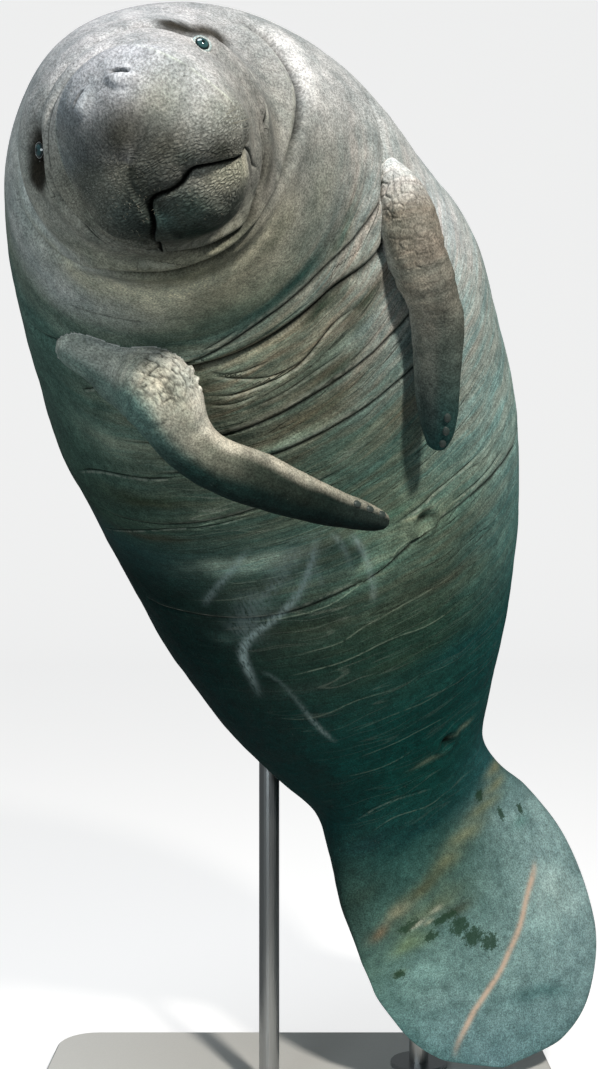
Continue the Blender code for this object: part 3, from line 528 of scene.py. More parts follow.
def storeMasks(mesh, masks):
    for name, values in masks.items():
        values = np.asarray(values, np.float32)
        if values.ndim == 1:
            mesh.attributes.new(name, "FLOAT", "POINT").data.foreach_set("value", values)
        elif name == "tone":
            full = np.concatenate((values, np.ones((len(values), 1), np.float32)), axis=1)
            mesh.attributes.new(name, "FLOAT_COLOR", "POINT").data.foreach_set("color", full.ravel())
        else:
            mesh.attributes.new(name, "FLOAT_VECTOR", "POINT").data.foreach_set("vector", values.ravel())


def linear(hexColour):
    rgb = np.array([int(hexColour[i:i + 2], 16) / 255 for i in (1, 3, 5)])
    return np.where(rgb <= 0.04045, rgb / 12.92, ((rgb + 0.055) / 1.055) ** 2.4)


# How the hide is coloured: down the body at four places round it (degrees), then patches of
# share, degrees, half length, half width in metres, colour, strength
hide = {
    "meridians": (
        # the teal in these colours, growing towards the tail, is painted underwater light
        (40, ((.03, "#7d7e7a"), (.10, "#6c6c69"), (.13, "#6a6c6a"), (.16, "#7b7d7a"), (.20, "#8f9293"), (.27, "#a6abad"),
              (.38, "#90a0a1"), (.46, "#84a0a0"), (.54, "#5c8280"), (.60, "#1d5757"), (.70, "#184d4e"), (.76, "#2c5a5e"),
              (.82, "#7c999b"), (.90, "#88a4a7"), (1.0, "#5d8085"))),
        (100, ((.00, "#4b4e48"), (.02, "#62665f"), (.06, "#77776e"), (.10, "#93937f"), (.14, "#a19f8c"), (.165, "#6f7a6c"),
               (.180, "#43544d"), (.20, "#65706a"), (.22, "#7f8173"), (.28, "#575c53"), (.34, "#56645b"), (.42, "#53685f"),
               (.47, "#5f7468"), (.51, "#43544a"), (.56, "#2c463c"), (.61, "#1e4540"), (.66, "#0c3f3c"), (.72, "#0f3e3a"),
               (.77, "#153f3e"), (.82, "#3c5d58"), (.87, "#5f7e7c"), (.93, "#729091"), (1.0, "#62828a"))),
        # its right side turns from the light: the near-black teal from .42 to .80 is painted shade
        (172, ((.05, "#8d8c82"), (.10, "#9fa09a"), (.15, "#b4b8b6"), (.175, "#7d897d"), (.20, "#547068"), (.28, "#4c665d"),
               (.37, "#33493f"), (.42, "#274342"), (.48, "#0a2422"), (.62, "#062727"), (.74, "#082e2e"), (.80, "#283f3a"),
               (.88, "#587770"), (1.0, "#52757a"))),
        (270, ((.01, "#7f8186"), (.03, "#9c9da2"), (.08, "#969699"), (.15, "#919296"), (.30, "#84888b"), (.50, "#5a6a6d"),
               (.75, "#3a4f53"), (.90, "#5e797c"), (1.0, "#5a7679")))),
    "patches": (
        # pale brow and nape
        (.117, -55, .05, .10, "#a3a4a8", .6), (.18, 10, .06, .08, "#8f9193", .5), (.295, 30, .10, .07, "#b9bec5", .6),
        # its right cheek and the throat roll
        (.120, 198, .05, .10, "#d3dada", .9), (.158, -3, .04, .08, "#bcbdc0", .7), (.130, 147, .030, .16, "#b9b6a2", .8), (.128, 106, .024, .12, "#e6e2ca", .9),
        (.089, 120, .020, .12, "#989886", .7), (.093, 42, .030, .040, "#4a4b46", .9), (.118, 22, .024, .04, "#6c6d68", .7), (.138, 70, .020, .06, "#5b6055", .8), (.159, 49, .030, .06, "#666d66", .7), (.132, 20, .020, .06, "#8a8c88", .6),
        # painted shade under the throat, in teal
        (.176, 160, .018, .10, "#4b635c", .7), (.170, 120, .016, .12, "#50635a", .5), (.180, 75, .016, .10, "#183836", .9),
        (.190, 57, .016, .06, "#44564e", .8),
        # chest: olive brown and teal in turns
        (.203, 100, .014, .10, "#8b8a78", .6), (.218, 77, .018, .07, "#233229", .95), (.241, 104, .020, .08, "#77796c", .6),
        (.251, 76, .016, .08, "#5a5c52", .7), (.265, 96, .014, .10, "#4b554d", .6), (.242, 67, .018, .06, "#35433b", .95), (.271, 85, .016, .05, "#373f35", .8), (.303, 108, .014, .06, "#7d998d", .8),
        (.292, 96, .016, .10, "#6a6857", .6), (.312, 84, .014, .10, "#4e5851", .6), (.333, 92, .016, .08, "#57695f", .6),
        (.345, 80, .02, .06, "#6b6a5a", .5), (.375, 90, .02, .10, "#4c6661", .6),
        # its right side: pale patch, brown band, and the dark flank's painted shade
        (.278, 150, .034, .07, "#8b9d8f", .8), (.241, 151, .020, .06, "#6f7d70", .6), (.335, 150, .022, .09, "#38402f", .8),
        (.345, 165, .02, .09, "#2b3a33", .6), (.365, 140, .012, .12, "#5d6c5f", .7), (.388, 156, .016, .09, "#453f33", .6),
        # the pale teal patch at .443 is painted light, lifting the forearm's shadow
        (.443, 101, .012, .05, "#5d8a7c", .8), (.362, 107, .012, .06, "#6f8a80", .7),
        # belly: light haze round the scars, then brown, green and teal
        (.440, 134, .030, .09, "#a3bdb1", .9), (.480, 120, .024, .10, "#7f9a8c", .8), (.517, 127, .016, .10, "#2b3a31", .7), (.500, 105, .016, .10, "#5e7166", .5),
        (.527, 88, .016, .08, "#4b4a40", .5), (.540, 112, .018, .10, "#2d4137", .7), (.538, 78, .020, .06, "#4d6359", .6),
        (.600, 80, .035, .09, "#164f50", .7), (.575, 105, .020, .10, "#33493c", .6), (.635, 112, .034, .12, "#0e403d", .7),
        (.576, 137, .020, .10, "#2d423e", .6), (.523, 150, .016, .04, "#48655f", .5),
        # stock and paddle: tan streak, brown stain, pale teal
        # navel and vent: the near-black spots are painted shade in their pits, the pale spot beside the navel a painted
        # highlight on its rim
        (.465, 92, .006, .015, "#141a15", 1.0), (.457, 95, .006, .016, "#8a9a88", .9), (.694, 85, .011, .014, "#08110f", 1.0), (.704, 97, .008, .030, "#5d6a5c", .7), (.690, 76, .007, .030, "#76806f", .6),
        (.768, 34, .016, .05, "#8f8f70", .7), (.782, 48, .016, .05, "#85886a", .7), (.795, 64, .018, .06, "#7a8064", .7),
        (.807, 81, .018, .06, "#7f8468", .7),
        (.818, 98, .018, .05, "#6f7358", .7), (.823, 114, .016, .05, "#57573f", .7), (.828, 130, .014, .030, "#8a8a74", .8),
        (.833, 147, .014, .026, "#7a6650", .7), (.775, 104, .018, .08, "#0f3638", .8), (.763, 140, .020, .07, "#132f31", .8),
        (.798, 150, .020, .05, "#2d413a", .6), (.842, 112, .028, .09, "#5c6650", .7), (.857, 101, .016, .050, "#3f4638", .8), (.862, 130, .028, .045, "#6a7d5c", .7),
        (.848, 123, .007, .018, "#b9bbab", .8), (.846, 111, .006, .014, "#b3b6a4", .7), (.853, 117, .005, .012, "#a9ad99", .7),
        (.880, 48, .040, .050, "#a5bdbc", .6), (.900, 60, .040, .05, "#8fafb0", .6), (.905, 126, .030, .06, "#83a8a6", .7),
        (.93, 100, .03, .06, "#6d8f90", .5), (.947, 64, .018, .08, "#466d70", .7), (.828, 48, .014, .03, "#5f8784", .7), (.895, 143, .010, .014, "#4f5f3e", .7)),
    # muzzle: across, down, radius in metres, colour, strength
    "muzzle": (
        (.055, -.105, .050, "#9699a1", .9), (-.010, -.112, .040, "#8f9197", .9), (-.060, -.095, .035, "#8e9297", .8),
        (.100, -.055, .036, "#94979a", .9), (.116, .012, .020, "#868a86", .7), (.060, -.045, .035, "#8b8b82", .7),
        (.000, -.030, .036, "#2f2f2a", .9), (.045, .005, .030, "#45453d", .8), (-.050, -.030, .028, "#4a4e50", .8),
        (-.085, -.030, .022, "#7b8387", .7), (-.070, .010, .026, "#575c59", .7), (-.040, .052, .030, "#4f5855", .9),
        # the dark patches at .020/.024 and .092/.034 are painted shade under the overhanging upper lip, just above the
        # slit
        (.020, .024, .022, "#3b403d", .8), (.092, .034, .015, "#262c28", .9), (.060, .026, .012, "#33403b", .6),
        (-.030, .085, .020, "#2c3a39", .7), (.0285, -.0845, .014, "#b4b7bf", .9), (-.0215, -.0790, .011, "#aeb2b9", .9),
        # on the lower lip the pale patches at .078 and .101 across are painted light, the dark teal at .012/.114 and
        # .060/.105 painted shade
        (.078, .066, .018, "#b9b8a8", .9), (.101, .070, .018, "#b3b2a2", .9), (.012, .114, .028, "#15302b", .95),
        (.032, .080, .020, "#5a6b64", .9), (-.004, .080, .012, "#67807b", .8), (.060, .105, .020, "#3c4743", .7),
        (.016, -.036, .030, "#33332d", .65), (-.048, -.058, .024, "#4a4f51", .35), (.112, -.010, .016, "#8f918c", .6)),
    # painted shade in the hollows round the eyes and the wrinkled pouch above its left eye: share, degrees, half
    # length, half width
    "paintedShadeHollows": ((.1000, -35, .042, .030), (.1180, -27, .034, .026), (.0930, -43, .024, .026), (.0880, -31, .012, .016),
                (.0765, -154, .024, .036), (.0770, -164, .020, .024)),
    # green algae on the paddle
    "algae": ((.872, 103, .028, .030), (.886, 98, .026, .032), (.896, 91, .024, .028), (.812, 57, .026, .010), (.821, 42, .020, .009),
              (.895, 142, .018, .018), (.868, 118, .018, .022), (.780, 64, .024, .014), (.858, 108, .014, .040), (.845, 128, .016, .030)),
}


def rampColour(stops, share):
    swatches = np.array([linear(row[1]) for row in stops])
    return np.stack([np.interp(share, [row[0] for row in stops], swatches[:, k]) for k in range(3)], axis=-1)


def patchAmount(rest, place, turn, long, wide, warp):
    spot = inUnbentSpace(np.float64(place), np.float64(turn))
    scale = min(1.0, min(long, wide) / 0.05)
    along = rest[..., 0] - spot[0] + scale * warp[0]
    around = np.hypot(rest[..., 1] - spot[1] + scale * warp[1], rest[..., 2] - spot[2])
    return np.exp(-(along / long) ** 2 - (around / wide) ** 2)


def hideTone(share, degrees, rest, plane):
    wander = share + 0.010 * softNoise(rest, 0.11, 8, 3)
    around = (degrees + 12 * softNoise(rest, 0.16, 5, 3) - 40) % 360 + 40
    tone, before = None, None
    for turn, stops in hide["meridians"] + ((400, hide["meridians"][0][1]),):
        colour = rampColour(stops, wander)
        tone = colour if tone is None else tone + (colour - tone) * ramp(around, before, turn)[..., None]
        before = turn
    warp = [0.045 * softNoise(rest, 0.07, seed, 4) for seed in (21, 22)]
    for place, turn, long, wide, colour, strength in hide["patches"]:
        tone = tone + (linear(colour) - tone) * (strength * patchAmount(rest, place, turn, long, wide, warp))[..., None]
    across, down, back = plane
    front = 1 - ramp(back, 0.10, 0.16)
    for x, y, radius, colour, strength in hide["muzzle"]:
        amount = strength * front * hump(np.hypot(across - x + 0.15 * warp[0], down - y + 0.15 * warp[1]), radius)
        tone = tone + (linear(colour) - tone) * amount[..., None]
    # painted shade, dark brown, in the eye hollows and the pouch
    for place, turn, long, wide in hide["paintedShadeHollows"]:
        amount = 0.95 * ramp(patchAmount(rest, place, turn, 1.2 * long, 1.2 * wide, (warp[0] * 0.5, warp[1] * 0.5)), 0.15, 0.75)
        tone = tone + (linear("#24211b") - tone) * amount[..., None]
    return tone


def bodyMasks(share, angle, points, plane):
    degrees = np.degrees(angle)[None, :] + np.zeros((len(share), 1))
    full = share[:, None] + np.zeros_like(degrees)
    wide, low, high = (row[:, None] for row in sectionSizes(share))
    sin = np.sin(angle)[None, :]
    rest = np.stack((full * manatee["length"], wide * np.cos(angle)[None, :],
                     np.where(sin > 0, low, high) * sin), axis=-1)
    crease, creaseMask, _ = creaseField(full, degrees)
    for fold in folds.values():
        off, fade = foldOffset(fold, full, degrees)
        closer = (np.abs(off) < np.abs(crease)) & (fade > 0.1)
        # the painted shade of deep folds is drawn wider, most of all under the chin, where they are seen from the edge
        wider = max(1.0, fold["depth"] / 0.005) * (1 + 1.5 * ramp(np.sin(np.radians(degrees)), 0.5, 0.95))
        crease = np.where(closer, off / wider, crease)
        creaseMask = np.where(closer, 0.9 * fade, creaseMask)
    across, down, back = plane
    below = mouthDistance(across, down)
    inMouth = (back < 0.15) * (across < 0.114) * (across > -0.062)
    # painted shade: near-black in the mouth slit and, below, in the nostril slits
    paintedShade = np.where(inMouth, 0.95 * (1 - ramp(np.abs(below - 0.0008), 0.0016, 0.0042)), 0)
    slitLong, slitShort, _ = face["nostrilSlit"]
    for x, y, tilt in face["nostrils"]:
        tilt = math.radians(tilt)
        along = (across - x) * math.cos(tilt) + (down - y) * math.sin(tilt)
        over = (down - y) * math.cos(tilt) - (across - x) * math.sin(tilt)
        slit = np.exp(-(along / slitLong) ** 4 - ((over + 0.0060 - 9.0 * along ** 2) / (1.3 * slitShort)) ** 2)
        paintedShade = np.maximum(paintedShade, 0.9 * slit * (back < 0.1))
    muzzle = (1 - ramp(back, 0.10, 0.17)) * (0.05 + 0.95 * ramp(down - 0.10 * across, -0.050, 0.005))
    furrow = ramp(full, 0.15, 0.20) * (1 - 0.65 * ramp(full, 0.42, 0.70)) * (1 - 0.9 * ramp(full, 0.74, 0.80))
    furrow = furrow * ramp(np.sin(np.radians(degrees)), 0.05, 0.92)
    algae = np.zeros(full.shape)
    for place, turn, long, wideness in hide["algae"]:
        algae = np.maximum(algae, patchAmount(rest, place, turn, long, wideness, (0, 0)))
    masks = {
        "rest": rest, "tone": hideTone(full, degrees, rest, plane), "crease": crease, "creaseMask": creaseMask,
        "muzzle": muzzle, "furrow": furrow, "algae": algae, "paintedShade": paintedShade,
        "scar": scarMask(scars.values(), rest), "pink": scarMask([tailScar], rest),
    }
    return {name: fromRings(values) for name, values in masks.items()}


print("building the body skin")
ringShares, spokeAngles = bodyRings(), bodySpokes()
bodyPoints, facePlane = bodySurface(ringShares, spokeAngles)
skin = closedTube("manatee_skin", bodyPoints)
storeMasks(skin.data, bodyMasks(ringShares, spokeAngles, bodyPoints, facePlane))
print("body skin faces:", len(skin.data.polygons))

# Flippers: x, y, z of the middle line, half width, half thickness; then the way the blade faces
flippers = {
    "right": {"rows": (
        (-.372, -.400, 1.500, .024, .022), (-.312, -.540, 1.470, .036, .034), (-.269, -.535, 1.448, .052, .044),
        (-.216, -.560, 1.417, .063, .050), (-.184, -.547, 1.361, .050, .042), (-.139, -.525, 1.316, .043, .034),
        (-.074, -.500, 1.289, .044, .028), (.003, -.455, 1.260, .037, .022), (.080, -.392, 1.237, .028, .017),
        (.126, -.354, 1.225, .020, .013), (.150, -.332, 1.219, .010, .008)),
        "facing": (-.10, -1.0, -.10), "rings": 380, "spokes": 180,
        # knobbly patches: middle, radius, size of a knob, height; where wrinkles start and stop
        "knobs": (((-.200, -.600, 1.440), .058, .0190, .0040), ((-.150, -.585, 1.442), .026, .011, .0060)),
        # soft pads: middle, radius, height
        "pads": (((-.222, -.600, 1.398), .030, .0070), ((-.255, -.590, 1.440), .032, .0040),
                 ((-.163, -.580, 1.450), .0085, .0080), ((-.152, -.575, 1.437), .0080, .0080), ((-.150, -.575, 1.421), .0070, .0060)),
        "wrinkled": (.27, .31, .40, .46),
        # share of the flipper, colour of its upper edge, middle and lower edge: the lighter upper edge is painted
        # light, the darker middle and lower edge painted shade, and the near-white by the shoulders painted light where
        # the neck shades them
        "litAndShadedTones": ((.00, "#cdd6ce", "#cfd8d0", "#8fa29c"), (.22, "#bdc1bf", "#b9bbb3", "#73857e"),
                  (.36, "#b9bab4", "#b0afa3", "#66807a"), (.50, "#b4b1a6", "#6a6c62", "#233a37"),
                  (.62, "#a29f94", "#2b332d", "#142624"), (.80, "#98968b", "#141f1c", "#0c1b1a"),
                  (1.0, "#8a897f", "#283230", "#0f1d1d"))},
    "left": {"rows": (
        (.112, -.400, 1.800, .016, .016), (.137, -.490, 1.775, .020, .020), (.150, -.515, 1.752, .028, .028),
        (.158, -.526, 1.728, .038, .034), (.165, -.528, 1.700, .044, .039), (.176, -.521, 1.660, .047, .040),
        (.190, -.505, 1.620, .047, .037), (.212, -.476, 1.575, .043, .032), (.222, -.449, 1.528, .044, .028),
        (.223, -.431, 1.482, .041, .024), (.226, -.400, 1.415, .036, .020), (.229, -.370, 1.368, .027, .015),
        (.227, -.350, 1.342, .013, .009)),
        "facing": (-.45, -1.0, .10), "rings": 380, "spokes": 180,
        "knobs": (((.150, -.560, 1.725), .055, .020, .0020), ((.170, -.560, 1.640), .050, .022, .0012)),
        "pads": (((.160, -.565, 1.712), .030, .0030),),
        "wrinkled": (.06, .14, .50, .70),
        "litAndShadedTones": ((.00, "#b8bec0", "#b8bec0", "#a5adb0"), (.18, "#e2e4e6", "#e0e2e4", "#c9cdd0"),
                  (.32, "#b5b4b1", "#8f887d", "#78736b"), (.48, "#adaaa2", "#908b80", "#6e6c65"),
                  (.66, "#93938d", "#70716a", "#4a504b"), (.85, "#5a6663", "#3f4a48", "#2b3f3d"),
                  (1.0, "#31494a", "#264646", "#264a49"))},
}


def flipperSurface(flipper):
    rows = np.array(flipper["rows"])
    lengths = np.concatenate(([0.0], np.cumsum(np.linalg.norm(np.diff(rows[:, :3], axis=0), axis=1))))
    at = np.linspace(0.0, 1.0, flipper["rings"])
    centre = smoothThrough(lengths / lengths[-1], rows[:, :3], at)
    wide = steadyThrough(lengths / lengths[-1], rows[:, 3], at)
    thick = steadyThrough(lengths / lengths[-1], rows[:, 4], at)
    along = unit(np.gradient(centre, axis=0))
    across = unit(np.cross(along, unit(np.array(flipper["facing"]))))
    front = np.cross(across, along)
    turn = np.linspace(0, 2 * math.pi, flipper["spokes"], endpoint=False)
    cos, sin = np.cos(turn)[None, :, None], np.sin(turn)[None, :, None]
    close = np.sqrt(np.clip((1 - at) / 0.012, 0, 1))[:, None, None]      # rounds off the tip
    points = centre[:, None] + close * (across[:, None] * wide[:, None, None] * cos
                                        + front[:, None] * thick[:, None, None] * sin)
    normal = unit(across[:, None] * cos / wide[:, None, None] + front[:, None] * sin / thick[:, None, None])
    rest = np.stack((at[:, None] * lengths[-1] + 0 * cos[..., 0], wide[:, None] * cos[..., 0], thick[:, None] * sin[..., 0]), axis=-1)
    return points, normal, rest, at


def cobbles(points, size, seed):
    # rounded cells with grooves between, 0 in a groove and 1 on a cell; for the elbow's knobbly skin
    cell = np.floor(points / size).astype(np.int64)
    nearest, second = np.full(len(points), 9.0), np.full(len(points), 9.0)
    for dx in (-1, 0, 1):
        for dy in (-1, 0, 1):
            for dz in (-1, 0, 1):
                c = cell + np.array((dx, dy, dz))
                spot = []
                for axis in range(3):
                    h = (c[:, 0] * 73856093 ^ c[:, 1] * 19349663 ^ c[:, 2] * 83492791 ^ (seed + axis) * 4256249) & 0x7fffffff
                    h = (h ^ (h >> 13)) * 1274126177 & 0x7fffffff
                    spot.append(c[:, axis] + 0.15 + 0.7 * ((h ^ (h >> 15)) & 0xffff) / 65535)
                away = np.linalg.norm(points / size - np.stack(spot, axis=-1), axis=-1)
                closer = away < nearest
                second = np.where(closer, nearest, np.minimum(second, away))
                nearest = np.where(closer, away, nearest)
    return ramp(second - nearest, 0.0, 0.20)


def makeFlipper(side):
    flipper = flippers[side]
    points, normal, rest, at = flipperSurface(flipper)
    edge = rest[..., 1] / np.maximum(np.abs(rest[..., 1]).max(axis=1, keepdims=True), 1e-6)
    rest = rest + np.array((5.0 if side == "right" else 8.0, 0, 0))
    if side == "right":
        edge = -edge
    lumps = 0.0016 * softNoise(points, 0.035, 11, 3)
    knobs = np.zeros(points.shape[:2])
    for place, radius, size, height in flipper["knobs"]:
        amount = ramp(radius - np.linalg.norm(points - np.array(place), axis=-1), 0.0, 0.4 * radius)
        some = amount > 0
        knobs[some] += amount[some] * height * (cobbles(points[some], size, 31) - 0.6)
    for place, radius, height in flipper["pads"]:
        away = np.linalg.norm(points - np.array(place), axis=-1)
        lumps = lumps + height * hump(away, radius) - 0.35 * height * hump(away - 1.25 * radius, 0.006)
    # wrinkles that ring the blade
    ringing = softNoise(np.stack((rest[..., 0] / 0.012, 0.25 * rest[..., 1] / 0.012, 0.25 * rest[..., 2] / 0.012), axis=-1), 1.0, 17, 2)
    fade = ramp(at, *flipper["wrinkled"][:2])[:, None] * (1 - ramp(at, *flipper["wrinkled"][2:]))[:, None]
    points = points + normal * (lumps + knobs + 0.0022 * fade * ringing)[..., None]
    points[0], points[-1] = points[0].mean(axis=0), points[-1].mean(axis=0)
    piece = closedTube("flipper_skin_" + side, points)
    shape = points.shape[:2]
    wander = edge + 0.12 * softNoise(rest, 0.05, 5, 2)
    # painted light and shade: lighter towards each flipper's upper edge, darker towards its lower edge
    places = [row[0] for row in flipper["litAndShadedTones"]]
    tone = np.zeros(shape + (3,))
    for k in range(3):
        upper = np.interp(at, places, [linear(row[1])[k] for row in flipper["litAndShadedTones"]])[:, None]
        middle = np.interp(at, places, [linear(row[2])[k] for row in flipper["litAndShadedTones"]])[:, None]
        lower = np.interp(at, places, [linear(row[3])[k] for row in flipper["litAndShadedTones"]])[:, None]
        blend = middle + (upper - middle) * ramp(wander, 0.45, 0.95)
        tone[..., k] = blend + (lower - blend) * ramp(-wander, -0.10, 0.50)
    tone = tone * (1 + 0.30 * softNoise(rest, 0.02, 15, 3))[..., None]
    # painted shade in the grooves between the knobs
    paintedShade = np.clip(-knobs / 0.0032, 0, 0.72)
    tone = tone * (1 - paintedShade)[..., None]
    none = np.zeros(shape)
    masks = {"rest": rest, "tone": tone, "crease": none + 0.05, "creaseMask": none, "muzzle": none + 0.10,
             "furrow": 0.25 * fade * np.ones(shape), "algae": none, "paintedShade": none, "scar": none, "pink": none}
    storeMasks(piece.data, {name: fromRings(values) for name, values in masks.items()})
    return piece


def settle(piece):
    graph = bpy.context.evaluated_depsgraph_get()
    mesh = bpy.data.meshes.new_from_object(piece.evaluated_get(graph))
    piece.modifiers.clear()
    piece.data = mesh
    return piece


def weld(piece, other, operation="UNION"):
    step = piece.modifiers.new(operation.lower(), "BOOLEAN")
    step.operation, step.solver, step.object = operation, "MANIFOLD", other
    settle(piece)
    bpy.data.objects.remove(other, do_unlink=True)


print("welding on the flippers")
for side in ("right", "left"):
    weld(skin, makeFlipper(side))
print("skin faces:", len(skin.data.polygons), "attributes:", [a.name for a in skin.data.attributes])


def surfaceNormal(place, degrees):
    nudge = 0.002
    spot = plainBody(np.array([place - nudge, place, place + nudge]), np.radians([degrees - 0.5, degrees, degrees + 0.5]))
    normal = unit(np.cross(spot[1, 2] - spot[1, 0], spot[2, 1] - spot[0, 1]))
    centre, along = (row[0] for row in spineFrames(np.array([place]))[:2])
    return spot[1, 1], normal * math.copysign(1.0, normal @ (spot[1, 1] - centre)), along


def ballMesh(name, centre, radius, segments, rings):
    bm = bmesh.new()
    bmesh.ops.create_uvsphere(bm, u_segments=segments, v_segments=rings, radius=radius)
    bmesh.ops.translate(bm, verts=bm.verts, vec=centre)
    mesh = bpy.data.meshes.new(name)
    bm.to_mesh(mesh)
    bm.free()
    return newObject(name, mesh)


def lidRing(name, centre, facing, colour):
    radius, half = face["lid"]
    turnTo = Vector(facing).to_track_quat("Z", "Y").to_matrix()
    bm = bmesh.new()
    rows = []
    for k in range(48):
        turn = 2 * math.pi * k / 48
        out = Vector((math.cos(turn), math.sin(turn), 0.0))
        row = []
        for j in range(14):
            roll = 2 * math.pi * j / 14
            local = out * (radius + half * math.cos(roll)) + Vector((0, 0, half * math.sin(roll)))
            row.append(bm.verts.new(Vector(centre) + turnTo @ local))
        rows.append(row)
    for low, high in zip(rows, rows[1:] + rows[:1]):
        for j in range(14):
            bm.faces.new((low[j], high[j], high[(j + 1) % 14], low[(j + 1) % 14]))
    mesh = bpy.data.meshes.new(name)
    bm.to_mesh(mesh)
    bm.free()
    ring = newObject(name, facingOut(mesh))
    count = len(ring.data.vertices)
    masks = {"rest": np.array([v.co for v in ring.data.vertices]) + 20, "tone": np.tile(linear(colour), (count, 1)),
             "crease": np.full(count, 0.05)}
    masks.update({name: np.zeros(count) for name in ("creaseMask", "muzzle", "furrow", "algae", "paintedShade", "scar", "pink")})
    storeMasks(ring.data, masks)
    return ring


print("opening the eyes")
eyeSpots = {}
for side, eye in face["eyes"].items():
    point, normal, along = surfaceNormal(*eye["at"])
    facing = unit(normal - along * eye["turn"])
    bed = point - facing * max(eye["sunk"] - 0.0065, -0.0015)
    weld(skin, lidRing("lid_" + side, bed, facing, eye["lid"]))
    centre = point - facing * eye["sunk"]
    weld(skin, ballMesh("socket", centre, face["eyeRadius"] + 0.0004, 48, 32), "DIFFERENCE")
    eyeSpots[side] = (centre, facing)
skin.data.shade_smooth()
skin.data.set_sharp_from_angle(angle=math.radians(50))


def put(tree, kind, values=None, wires=None, **settings):
    node = tree.nodes.new(kind)
    for name, value in settings.items():
        setattr(node, name, value)
    for name, value in (values or {}).items():
        node.inputs[name].default_value = value
    for name, socket in (wires or {}).items():
        tree.links.new(socket, node.inputs[name])
    return node


def newMaterial(name, **sockets):
    material = bpy.data.materials.new(name)
    material.use_nodes = True
    shader = material.node_tree.nodes["Principled BSDF"]
    for socket, value in sockets.items():
        shader.inputs[socket.replace("_", " ")].default_value = value
    return material, material.node_tree, shader


